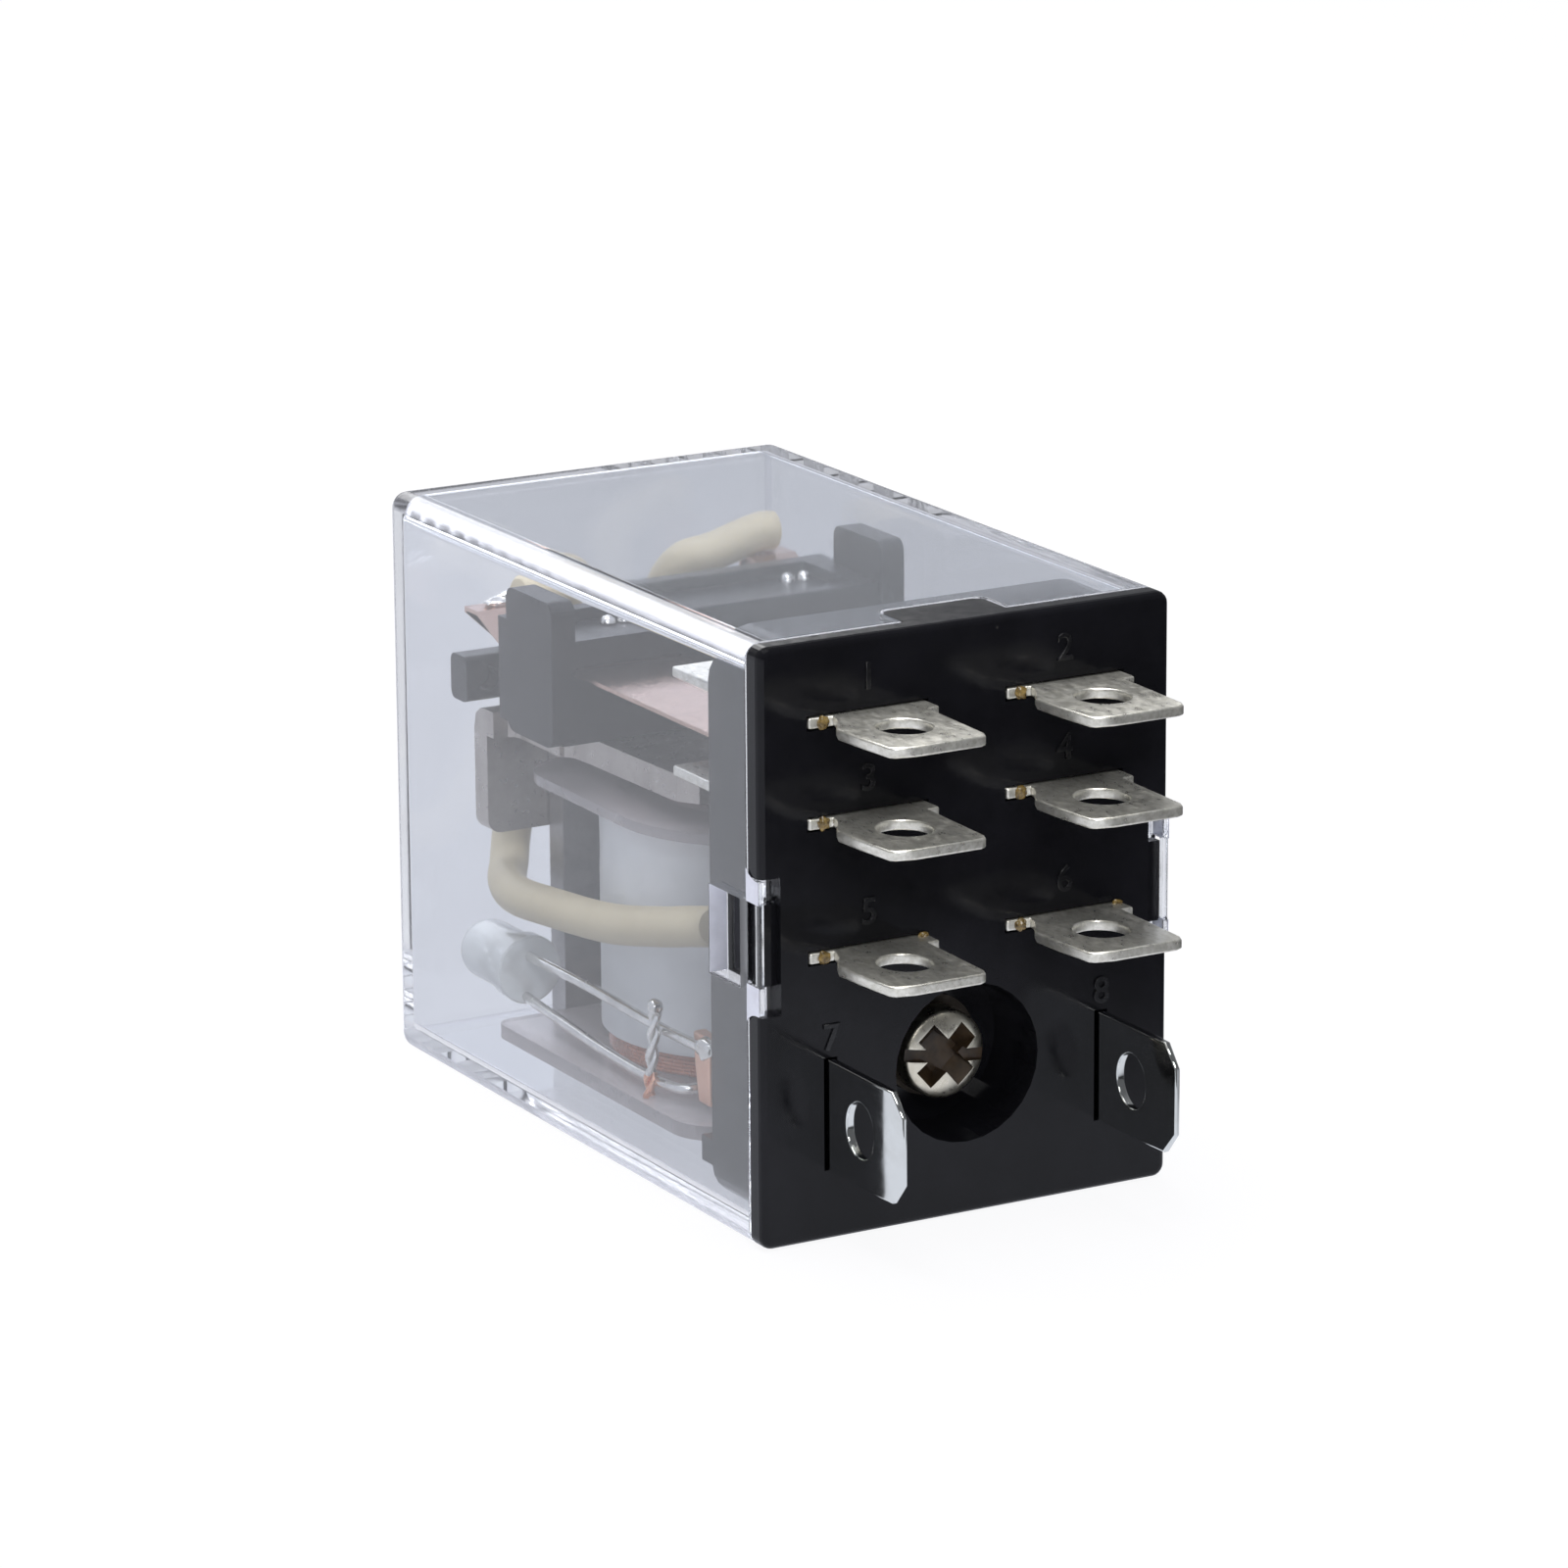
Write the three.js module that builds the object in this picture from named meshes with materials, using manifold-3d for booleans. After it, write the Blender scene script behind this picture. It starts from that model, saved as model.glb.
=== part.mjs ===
// Plug-in relay with eight blades, two changeover contacts and a clear dust cover.
// Millimetres. The seat face of the base lies in the plane y = 0 and its middle is the origin.
// The blades point to -Y, the closed end of the cover to +Y, and +Z is up.

import * as THREE from "three";
import { mergeVertices } from "three/addons/utils/BufferGeometryUtils.js";
import Module from "manifold-3d";

const wasm = await Module();
wasm.setup();

// Driving dimensions of the case
const coverWidth = 21.5;
const coverHeight = 28;
const coverEnd = 36.5;
const coverWall = 1;
const coverEdgeRadius = 0.8;
const cavityEdgeRadius = 0.5;

// Base and the way it fits the cover
const seatThickness = 1.05;
const rimSeam = 0.05;
const seatInset = 0.05;
const seatCornerRadius = 0.6;
const seatEdgeRadius = 0.3;
const plugDepth = 5.3;
const plugClearance = 0.1;
const plugCornerRadius = 1.5;
const plugWall = 1.3;
const floorThickness = 3.4;
const bossMargin = 0.8;
const keyWidth = 5.3;
const keyDepth = 2.2;
const keyClearance = 0.1;
const lugHeight = 1.2;
const lugDepth = 1;
const lugLift = 1.5;

// Snap window and tongue on both sides of the cover
const tongueHeight = 6.2;
const tongueRise = 0.2;
const tongueSetback = 0.1;
const tongueClearance = 0.1;
const slotHeight = 4.1;
const slotFrontBar = 0.3;
const bridgeWidth = 0.95;
const windowLength = 1;
const windowRampLength = 1.7;
const windowHeight = 4;
const hookLength = 1;
const hookProjection = 0.9;
const hookSideClearance = 0.15;

// Blades: margins are from the inside of the cover, and a row is the height of a blade's middle
const bladeSideMargin = 1.545;
const bladeColumnGap = 4.11;
const closedRowMargin = 2.75;
const contactRowPitch = 4.65;
const commonRow = -0.6;
const coilRowMargin = 5;
const coilColumnMargin = 2.62;
const bladeThickness = 0.6;
const bladeLength = 6.4;
const bladeEdgeBevel = 0.08;
const bladeTipThickness = 0.34;
const bladeTipLength = 0.55;
const coilBladeWidth = 5.2;
const bladeHoleWidth = 2.24;
const bladeHoleLength = 3.1;
const bladeHoleSetback = 3.35;
const bladeSlotClearance = 0.05;
const contactFootGap = 0.02;
const contactTerminalEnd = 11.35;
const commonTailLength = 2;
const coilTerminalEnd = 10;
const coilTailTop = 1;
const coilTailInset = 0.5;

// Outlines of the blades as shares of the root width and of the free length
const contactBladeShares = [
  [-0.5, 0], [-0.5, 0.015], [-0.3, 0.015], [-0.32, 0.08], [-0.42, 0.24], [-0.468, 0.34],
  [-0.41, 0.94], [-0.228, 1], [0.317, 1], [0.382, 0.93], [0.4, 0.16], [0.5, 0.16], [0.5, 0],
];
const coilBladeShares = [
  [-0.5, 0], [-0.5, 0.84], [-0.28, 1], [0.28, 1], [0.5, 0.84], [0.5, 0],
];

// Yoke screw and the recess that its head lies in
const screwRowRise = 1.25;
const screwHeadDiameter = 4.5;
const screwHeadHeight = 1.2;
const screwHeadCrown = 0.35;
const screwHeadCrownShare = 0.72;
const washerThickness = 0.45;
const washerDiameter = 4.8;
const washerBore = 2.3;
const washerSlit = 0.35;
const washerGap = 0.02;
const screwDiameter = 2;
const screwEnd = 8.6;
const screwClearance = 0.15;
const threadClearance = 0.05;
const recessDiameter = 7.5;
const recessDepth = 3.8;
const recessWall = 1;
const driveLength = 4;
const driveFloorLength = 2.5;
const driveWidth = 1.1;
const driveDepth = 0.95;
const driveTurn = 0.82;

// Yoke, core and coil
const yokeThickness = 1.4;
const yokeSideGap = 1.83;
const yokeFloorGap = 0.15;
const yokeSeatGap = 0.05;
const yokeBendRadius = 1.3;
const yokeFrontDrop = 2;
const hingeSetback = 29.9;
const hingeGap = 0.05;
const hingeDropShare = 0.1768;
const knifeDrop = 0.15;
const hookTabWidth = 3.6;
const hookTabLength = 2.5;
const hookTabThickness = 1;
const hookTabRise = 2.05;
const coilSetback = 19.3;
const coreShare = 0.379;
const coreClearance = 0.05;
const poleDiameter = 8.4;
const poleThickness = 0.3;
const poleGap = 0.7;
const poleEdge = 0.15;
const flangeGap = 0.05;
const upperFlangeThickness = 0.5;
const upperFlangeMargin = 2;
const upperFlangeFront = 10.1;
const upperFlangeFrontRadius = 7;
const upperFlangeRearRadius = 2.7;
const lowerFlangeThickness = 0.7;
const lowerFlangeMargin = 0.75;
const lowerFlangeFrontGap = 1.15;
const lowerFlangeFrontRadius = 2.4;
const lowerFlangeRearRadius = 0.8;
const flangeLegGap = 0.3;
const hubWall = 0.55;
const windingShare = 0.677;
const windingGap = 0.05;
const tapeThickness = 0.22;
const tapeLap = 0.12;
const tapeGap = 0.03;
const tapeFootBare = 1.1;
const tapeTopBare = 0.1;
const tapeSeam = -2.2;

// Armature, contact card and leaf springs, which all turn together
const armatureThickness = 1.3;
const armatureFront = 13.5;
const armatureShoulder = 24.6;
const armatureNeck = 29.2;
const tailMargin = 1.5;
const armatureMargin = 2.65;
const tongueMargin = 3.25;
const noseMargin = 3.55;
const tailLengthShare = 0.175;
const tailCornerRadius = 0.7;
const armatureBendRadius = 1.1;
const armatureNoseRadius = 2;
const tongueFlareLength = 1.5;
const neckRadius = 0.6;
const springLugWidth = 2.4;
const springLugLength = 1.1;
const springLugThickness = 0.9;
const hingeFaceGap = 0.1;
const cardFront = 21.5;
const cardRear = 28;
const cardMargin = 1.25;
const cardCrown = 1.45;
const cardGap = 0.1;
const cardTopRecess = 0.6;
const cardTopRim = 0.9;
const earMargin = 0.55;
const earThickness = 1.25;
const earFront = 21.2;
const earRear = 25.8;
const earCrown = 1.15;
const earCornerRadius = 0.6;
const beamMargin = 3.05;
const beamOverlap = 0.6;
const rearLugMargin = 1.05;
const rearLugWidth = 3.05;
const rearLugFront = 31;
const rearLugEnd = 32.7;
const rearLugDrop = 1.3;
const lugCornerRadius = 0.4;
const rearLugHoleDiameter = 1.2;
const rearLugHoleDepth = 1;
const rearLugHoleInset = 1.1;
const pegDiameter = 1.3;
const pegHeadDiameter = 2.2;
const pegHeadHeight = 0.5;
const pegOffset = 2.6;
const pegSetback = 25;
const pegClearance = 0.05;
const leafThickness = 0.2;
const leafDrop = 2.3;
const leafEdgeInset = 0.155;
const leafReachForward = 1.4;
const leafFrontRadius = 1.4;
const leafSlotClearance = 0.05;
const leafRise = 1;
const leafRiseEnd = 30.4;
const leafEnd = 31.7;
const leafTailMargin = 1.35;
const leafTailWidth = 2.4;
const leafTabDrop = 1.9;

// Contacts
const contactReach = 2.9;
const contactDiameter = 2.4;
const contactDomeShare = 0.35;
const contactGap = 0.05;
const contactStroke = 1;
const movingHeadTop = 0.6;
const movingHeadBottom = 0.35;
const rivetDiameter = 1.2;
const rivetClearance = 0.04;
const rivetTailHeight = 0.25;

// Flexible leads from the leaf springs to the common terminals, as a route of the left one: shares of the
// cover's inner half width and inner end, and of the height from the armature's tail up to the leaf's
// tail or, below zero, down to the lamp
const leadShare = 0.0679;
const leadRouteShares = [
  [-0.59, 0.876, 1.029], [-0.44, 0.882, 1.029], [-0.31, 0.901, 0.985], [-0.256, 0.93, 0.848],
  [-0.27, 0.944, 0.65], [-0.35, 0.946, 0.388], [-0.46, 0.941, 0.133], [-0.555, 0.927, -0.138],
  [-0.63, 0.899, -0.42], [-0.725, 0.854, -0.522], [-0.815, 0.775, -0.502], [-0.86, 0.656, -0.394],
  [-0.86, 0.493, -0.26], [-0.86, 0.352, -0.044], [-0.855, 0.268, 0.05], [-0.835, 0.218, 0.087],
];
const rightLeadStartShares = [[-0.78, 0.873, 1.095], [-0.68, 0.875, 1.095]];
const leadSteps = 36;
const leadSides = 8;

// Lamp, its wires and its resistor
const lampLift = 0.4;
const lampDiameter = 3;
const lampCollarDiameter = 3.4;
const lampCollarLength = 0.9;
const lampStart = 26.2;
const lampEnd = 31.7;
const lampLegPitch = 2.54;
const wireDiameter = 0.5;
const wireGap = 0.05;
const wireStart = 9.5;
const crossingGap = 1.4;
const crossingRise = 0.9;
const wireBend = 1.4;
const wireSteps = 40;
const wireSides = 10;
const crossingRun = 1.2;
const lowerWireRun = 1.8;
const resistorDiameter = 1.4;
const resistorLength = 3.6;
const resistorWaistShare = 0.86;
const resistorCapShare = 0.22;

// Twisted ends of the winding
const twistDiameter = 0.66;
const twistWaistShare = 0.45;
const twistPitch = 1.1;
const twistSetback = 13.8;
const twistLean = 0.7;
const twistHeight = 4.5;
const finishTwistSetback = 9.3;
const twistStepsPerTurn = 8;
const twistSides = 10;

// Return spring
const springRadius = 1;
const springWireDiameter = 0.36;
const springPitch = 0.98;
const springOffset = 1.5;
const springEndGap = 0.08;
const springStepsPerCurl = 8;
const springSides = 5;

// One overrun serves every cut
const overrun = 1;
const arcSteps = 5;
const roundSteps = 28;
const windingSteps = 40;
const tapeSteps = 48;
const domeSteps = 7;
const quarterTurn = 90;

// Values worked out from the driving dimensions
const cavityHalfWidth = coverWidth / 2 - coverWall;
const cavityHalfHeight = coverHeight / 2 - coverWall;
const cavityEnd = coverEnd - coverWall;
const coverRim = seatThickness + rimSeam;
const plugHalfWidth = cavityHalfWidth - plugClearance;
const plugHalfHeight = cavityHalfHeight - plugClearance;
const seatHalfWidth = coverWidth / 2 - seatInset;
const seatHalfHeight = coverHeight / 2 - seatInset;
const slotRear = coverRim;
const windowFront = slotRear + bridgeWidth;
const windowRear = windowFront + windowLength;
const bladeOuterEdge = cavityHalfWidth - bladeSideMargin;
const bladeInnerEdge = bladeColumnGap / 2;
const bladeRootWidth = bladeOuterEdge - bladeInnerEdge;
const columnOffset = (bladeOuterEdge + bladeInnerEdge) / 2;
const closedRow = cavityHalfHeight - closedRowMargin;
const openRow = closedRow - contactRowPitch;
const coilRow = coilRowMargin - cavityHalfHeight;
const coilColumn = cavityHalfWidth - coilColumnMargin;
const screwRow = coilRow + screwRowRise;
const leafHeight = closedRow - leafDrop;
const hingeHeight = leafHeight - coverHeight * hingeDropShare;
const yokeHalfWidth = coilColumn - bladeThickness / 2 - yokeSideGap;
const yokeFrontTop = commonRow - yokeFrontDrop;
const yokeUnderside = yokeFloorGap - cavityHalfHeight;
const yokeTopOfFloor = yokeUnderside + yokeThickness;
const yokeFront = plugDepth + yokeSeatGap;
const lowerFlangeFront = yokeFront + yokeThickness + lowerFlangeFrontGap;
const commonTerminalEnd = plugDepth + commonTailLength;
const contactSetback = plugDepth + contactReach;
const leafFront = plugDepth + leafReachForward;
const legOuterFace = hingeSetback - hingeFaceGap;
const legInnerFace = legOuterFace - yokeThickness;
const legTop = hingeHeight - hingeGap;
const lowerFlangeBottom = yokeTopOfFloor + flangeGap;
const lowerFlangeTop = lowerFlangeBottom + lowerFlangeThickness;
const windingBottom = lowerFlangeTop + windingGap;
const poleTop = hingeHeight - poleGap;
const poleUnderside = poleTop - poleThickness;
const upperFlangeTop = poleUnderside - flangeGap;
const upperFlangeBottom = upperFlangeTop - upperFlangeThickness;
const upperFlangeHalfWidth = cavityHalfWidth - upperFlangeMargin;
const lowerFlangeHalfWidth = cavityHalfWidth - lowerFlangeMargin;
const windingTop = upperFlangeBottom - windingGap;
const flangeRear = legInnerFace - flangeLegGap;
const windingRadius = cavityHalfWidth * windingShare;
const coreRadius = windingRadius * coreShare;
const boreRadius = coreRadius + coreClearance;
const hubRadius = boreRadius + hubWall;
const tapeInnerRadius = windingRadius + tapeGap;
const tapeOuterRadius = tapeInnerRadius + tapeThickness;
const armatureTop = hingeHeight + armatureThickness;
const tailOuterFace = hingeSetback + armatureThickness;
const tailBottom = hingeHeight - coverHeight * tailLengthShare;
const cardBottom = armatureTop + cardGap;
const cardTop = leafHeight + cardCrown;
const earTop = closedRow + earCrown;
const leafWidth = bladeRootWidth - leafEdgeInset * 2;
const leafTailOuter = cavityHalfWidth - leafTailMargin;
const leafTailInner = leafTailOuter - leafTailWidth;
const leafBottom = leafHeight - leafThickness / 2;
const leafTop = leafHeight + leafThickness / 2;
const closedPlateBottom = closedRow - bladeThickness / 2;
const openPlateTop = openRow + bladeThickness / 2;
const closedContactHeight = closedPlateBottom - leafTop - movingHeadTop - contactGap;
const openContactHeight = leafBottom - movingHeadBottom - contactStroke - openPlateTop;
const wireRadius = wireDiameter / 2;
const hookTabTop = yokeTopOfFloor + hookTabRise;
const springSetback = legOuterFace + springOffset;
const lampColumn = coilColumn + bladeThickness / 2 + wireRadius + wireGap;
const lampRow = lowerFlangeTop + lampCollarDiameter / 2 + lampLift;
const crossingRow = lowerFlangeTop + crossingRise;
const crossingSetback = coilSetback - windingRadius - crossingGap;
const crossingEnd = crossingSetback - crossingRun;
const lowerWireEnd = crossingSetback - lowerWireRun;
const leadFloor = lampRow + lampCollarDiameter / 2;
const leadRise = leafTop + leafRise - tailBottom;
const leadFall = tailBottom - leadFloor;
const leadRadius = (coverHeight * leadShare) / 2;

// Directions that an outline can be pushed along
const xAxis = new THREE.Vector3(1, 0, 0);
const yAxis = new THREE.Vector3(0, 1, 0);
const zAxis = new THREE.Vector3(0, 0, 1);
const along = {
  x: new THREE.Matrix4().makeBasis(yAxis, zAxis, xAxis),
  y: new THREE.Matrix4().makeBasis(xAxis, zAxis, yAxis.clone().negate()),
  z: new THREE.Matrix4(),
};

// An outline pushed from one place to another: in Y and Z along x, X and Z along y, X and Y along z.
function push(shape, axis, from, to, options = {}) {
  const settings = { depth: to - from, bevelEnabled: false, curveSegments: arcSteps / 2, ...options };
  const geometry = new THREE.ExtrudeGeometry(shape, settings).applyMatrix4(along[axis]);
  if (axis === "x") return geometry.translate(from, 0, 0);
  if (axis === "y") return geometry.translate(0, to, 0);
  return geometry.translate(0, 0, from);
}

function polygon(points) {
  return new THREE.Shape(points.map(([a, b]) => new THREE.Vector2(a, b)));
}

function roundedRectangle(left, right, bottom, top, radius) {
  const quarter = Math.PI / 2;
  return new THREE.Shape()
    .absarc(right - radius, top - radius, radius, 0, quarter)
    .absarc(left + radius, top - radius, radius, quarter, 2 * quarter)
    .absarc(left + radius, bottom + radius, radius, 2 * quarter, 3 * quarter)
    .absarc(right - radius, bottom + radius, radius, 3 * quarter, 4 * quarter);
}

function ellipse(a, b, radiusA, radiusB) {
  return new THREE.Shape().absellipse(a, b, radiusA, radiusB, 0, 2 * Math.PI);
}

function block(left, right, front, rear, bottom, top) {
  const size = [right - left, rear - front, top - bottom];
  const middle = [(left + right) / 2, (front + rear) / 2, (bottom + top) / 2];
  return solid(new THREE.BoxGeometry(...size).translate(...middle));
}

// A round bar or hole between two places on an axis; its middle is given in the other two directions.
function bar(axis, a, b, radius, from, to, steps = roundSteps) {
  return solid(push(ellipse(a, b, radius, radius), axis, from, to, { curveSegments: steps / 2 }));
}

// A turned piece: radius and place along its axis, closed on the axis at both ends.
function turned(profile, axis, a, b, steps = roundSteps) {
  const points = profile.map(([radius, place]) => new THREE.Vector2(radius, place));
  const geometry = new THREE.LatheGeometry(points, steps);
  if (axis === "z") geometry.rotateX(Math.PI / 2).translate(a, b, 0);
  if (axis === "y") geometry.translate(a, 0, b);
  return solid(geometry);
}

// Boolean solids, made from closed geometry with shared corners and turned outwards where needed.
function solid(geometry) {
  const bare = geometry.clone();
  bare.deleteAttribute("normal");
  bare.deleteAttribute("uv");
  const merged = mergeVertices(bare);
  const vertProperties = new Float32Array(merged.attributes.position.array);
  const triVerts = new Uint32Array(merged.index.array);
  const made = new wasm.Manifold(new wasm.Mesh({ numProp: 3, vertProperties, triVerts }));
  if (made.volume() > 0) return made;
  const turnedRound = triVerts.map((value, i) => triVerts[i % 3 === 1 ? i + 1 : i % 3 === 2 ? i - 1 : i]);
  return new wasm.Manifold(new wasm.Mesh({ numProp: 3, vertProperties, triVerts: turnedRound }));
}

function join(first, ...others) {
  return others.reduce((whole, other) => whole.add(other), first);
}

function cut(first, ...others) {
  return others.reduce((whole, other) => whole.subtract(other), first);
}

function geometryOf(body) {
  const mesh = body.getMesh();
  const geometry = new THREE.BufferGeometry();
  geometry.setAttribute("position", new THREE.BufferAttribute(mesh.vertProperties, 3));
  geometry.setIndex(new THREE.BufferAttribute(mesh.triVerts, 1));
  const flat = geometry.toNonIndexed();
  flat.computeVertexNormals();
  return flat;
}

// A round tube along a smooth curve through the given points.
function tube(points, radius, steps, sides) {
  const curve = new THREE.CatmullRomCurve3(points.map((p) => new THREE.Vector3(...p)), false, "centripetal");
  const section = ellipse(0, 0, radius, radius);
  const options = { steps, extrudePath: curve, bevelEnabled: false, curveSegments: sides / 2 };
  return solid(new THREE.ExtrudeGeometry(section, options));
}

// A tube skinned over rings of points, closed by a fan at each end.
function skinned(rings) {
  const sides = rings[0].length;
  const corners = rings.flat();
  const centres = [rings[0], rings.at(-1)].map((ring) => {
    const sum = ring.reduce((total, p) => total.add(p), new THREE.Vector3());
    return corners.push(sum.divideScalar(sides)) - 1;
  });
  const faces = [];
  for (let r = 0; r + 1 < rings.length; r++) {
    for (let s = 0; s < sides; s++) {
      const here = r * sides + s;
      const next = r * sides + ((s + 1) % sides);
      faces.push(here, next, next + sides, here, next + sides, here + sides);
    }
  }
  const lastRing = (rings.length - 1) * sides;
  for (let s = 0; s < sides; s++) {
    const next = (s + 1) % sides;
    faces.push(centres[0], next, s, centres[1], lastRing + s, lastRing + next);
  }
  const geometry = new THREE.BufferGeometry().setFromPoints(corners);
  geometry.setIndex(faces);
  return solid(geometry);
}

const materials = {
  blackMoulding: { color: 0x17171b, roughness: 0.38, metalness: 0 },
  clearPolycarbonate: { color: 0xcfd6e2, roughness: 0.06, metalness: 0, transparent: true, opacity: 0.3 },
  nickelPlate: { color: 0xb9b7ad, roughness: 0.32, metalness: 1 },
  copperAlloy: { color: 0xc98e6c, roughness: 0.35, metalness: 1 },
  steelPlate: { color: 0x8d8d8c, roughness: 0.42, metalness: 1 },
  silverContact: { color: 0xd8d8d6, roughness: 0.25, metalness: 1 },
  naturalNylon: { color: 0xcfc9c4, roughness: 0.3, metalness: 0, transparent: true, opacity: 0.6 },
  enamelledCopper: { color: 0xa9563a, roughness: 0.3, metalness: 0.8 },
  whiteTape: { color: 0xd5d8dc, roughness: 0.5, metalness: 0 },
  beigeSleeve: { color: 0xc9b795, roughness: 0.55, metalness: 0 },
  lampResin: { color: 0xcdd2cf, roughness: 0.12, metalness: 0, transparent: true, opacity: 0.7 },
  tinnedWire: { color: 0xc4c6c6, roughness: 0.25, metalness: 1 },
  resistorCoat: { color: 0xb79f74, roughness: 0.5, metalness: 0 },
};

function mesh(name, body, material) {
  const made = new THREE.Mesh(geometryOf(body), new THREE.MeshStandardMaterial(materials[material]));
  made.name = name;
  return made;
}

// Clear cover: a deep box, open at its rim, with a key notch and a snap tongue on either side.
function dustCover() {
  const outline = roundedRectangle(
    coverEdgeRadius - coverWidth / 2, coverWidth / 2 - coverEdgeRadius,
    coverEdgeRadius - coverHeight / 2, coverHeight / 2 - coverEdgeRadius, coverEdgeRadius / 2,
  );
  const roundedEnd = {
    bevelEnabled: true, bevelSize: coverEdgeRadius, bevelThickness: coverEdgeRadius, bevelSegments: 4,
  };
  const outside = solid(push(outline, "y", 0, coverEnd - coverEdgeRadius, roundedEnd));
  const beforeRim = block(-coverWidth, coverWidth, -coverEnd, coverRim, -coverHeight, coverHeight);
  const cavity = roundedRectangle(
    -cavityHalfWidth, cavityHalfWidth, -cavityHalfHeight, cavityHalfHeight, cavityEdgeRadius,
  );
  const inside = solid(push(cavity, "y", -overrun, cavityEnd));
  const notchHalf = keyWidth / 2 + keyClearance;
  const notchRear = coverRim + keyDepth + keyClearance;
  const keyNotch = roundedRectangle(-notchHalf, notchHalf, 0, notchRear, seatCornerRadius);
  const notch = solid(push(keyNotch, "z", cavityHalfHeight - overrun, coverHeight / 2 + overrun));
  const shell = cut(outside, beforeRim, inside, notch);
  const sides = [-1, 1].map((side) => {
    const near = side * cavityHalfWidth;
    const far = side * (coverWidth / 2);
    const [left, right] = [Math.min(near, far), Math.max(near, far)];
    const bottom = tongueRise - tongueHeight / 2;
    const top = tongueRise + tongueHeight / 2;
    return block(left, right, tongueSetback, coverRim + rimSeam, bottom, top);
  });
  const openings = [
    block(
      -coverWidth, coverWidth, tongueSetback + slotFrontBar, slotRear,
      tongueRise - slotHeight / 2, tongueRise + slotHeight / 2,
    ),
    ...[-1, 1].map((side) => solid(push(polygon([
      [side * (cavityHalfWidth - overrun), windowFront], [side * (coverWidth / 2 + overrun), windowFront],
      [side * (coverWidth / 2 + overrun), windowRear + windowRampLength],
      [side * (coverWidth / 2), windowRear + windowRampLength], [side * cavityHalfWidth, windowRear],
      [side * (cavityHalfWidth - overrun), windowRear],
    ]), "z", tongueRise - windowHeight / 2, tongueRise + windowHeight / 2))),
  ];
  return cut(join(shell, ...sides), ...openings);
}

// Where each blade goes through the base: its plate in X and Z, and the boss that holds it inside.
function bladePlaces() {
  const contactRows = [closedRow, openRow, commonRow];
  const contactPlaces = contactRows.flatMap((row) => [-columnOffset, columnOffset].map((column) => ({
    column, row, halfWidth: bladeRootWidth / 2, halfHeight: bladeThickness / 2,
  })));
  const coilPlaces = [-coilColumn, coilColumn].map((column) => ({
    column, row: coilRow, halfWidth: bladeThickness / 2, halfHeight: coilBladeWidth / 2,
  }));
  return [...contactPlaces, ...coilPlaces];
}

function prismAt(place, margin, front, rear) {
  const { column, row, halfWidth, halfHeight } = place;
  return block(
    column - halfWidth - margin, column + halfWidth + margin, front, rear,
    row - halfHeight - margin, row + halfHeight + margin,
  );
}

// Black base: the seat plate, a plug inside the cover, bosses round the blades and the screw.
function base() {
  const seatOutline = roundedRectangle(
    seatEdgeRadius - seatHalfWidth, seatHalfWidth - seatEdgeRadius,
    seatEdgeRadius - seatHalfHeight, seatHalfHeight - seatEdgeRadius, seatCornerRadius - seatEdgeRadius,
  );
  const roundedEdge = {
    bevelEnabled: true, bevelSize: seatEdgeRadius, bevelThickness: seatEdgeRadius, bevelSegments: 3,
  };
  const seatPlate = solid(push(seatOutline, "y", seatEdgeRadius, coverRim + seatThickness, roundedEdge));
  const behindSeat = block(
    -coverWidth, coverWidth, seatThickness, coverEnd, -coverHeight, coverHeight,
  );
  const plugOutline = roundedRectangle(
    -plugHalfWidth, plugHalfWidth, -plugHalfHeight, plugHalfHeight, plugCornerRadius,
  );
  const plug = solid(push(plugOutline, "y", seatThickness / 2, plugDepth));
  const pocketOutline = roundedRectangle(
    plugWall - plugHalfWidth, plugHalfWidth - plugWall,
    plugWall - plugHalfHeight, plugHalfHeight - plugWall, plugCornerRadius / 2,
  );
  const pocket = solid(push(pocketOutline, "y", floorThickness, plugDepth + overrun));
  const places = bladePlaces();
  const bosses = places.map((place) => prismAt(place, bossMargin, floorThickness / 2, plugDepth));
  const screwBoss = bar("y", 0, screwRow, recessDiameter / 2 + recessWall, floorThickness / 2, plugDepth);
  const inPlug = solid(push(plugOutline, "y", 0, plugDepth));
  const keyOutline = roundedRectangle(
    -keyWidth / 2, keyWidth / 2, 0, coverRim + keyDepth, seatCornerRadius,
  );
  const keyFront = block(-coverWidth, coverWidth, -coverEnd, seatThickness / 2, -coverHeight, coverHeight);
  const key = cut(solid(push(keyOutline, "z", plugHalfHeight - overrun, seatHalfHeight)), keyFront);
  const lugs = [-1, 1].map((side) => {
    const near = side * (plugHalfWidth - plugWall);
    const far = side * plugHalfWidth;
    const bottom = -plugHalfHeight + lugLift;
    return block(
      Math.min(near, far), Math.max(near, far), plugDepth - overrun, plugDepth + lugDepth,
      bottom, bottom + lugHeight,
    );
  });
  const inner = join(cut(plug, pocket), ...bosses, screwBoss).intersect(inPlug);
  const whole = join(cut(seatPlate, behindSeat), inner, key, ...lugs);
  const slots = places.map((place) => prismAt(place, bladeSlotClearance, -overrun, plugDepth + overrun));
  const recess = bar("y", 0, screwRow, recessDiameter / 2, -overrun, recessDepth);
  const screwHole = bar("y", 0, screwRow, screwDiameter / 2 + screwClearance, 0, plugDepth + overrun);
  return join(cut(whole, ...slots, recess, screwHole, ...tongueNotches()), ...snapHooks());
}

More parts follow.
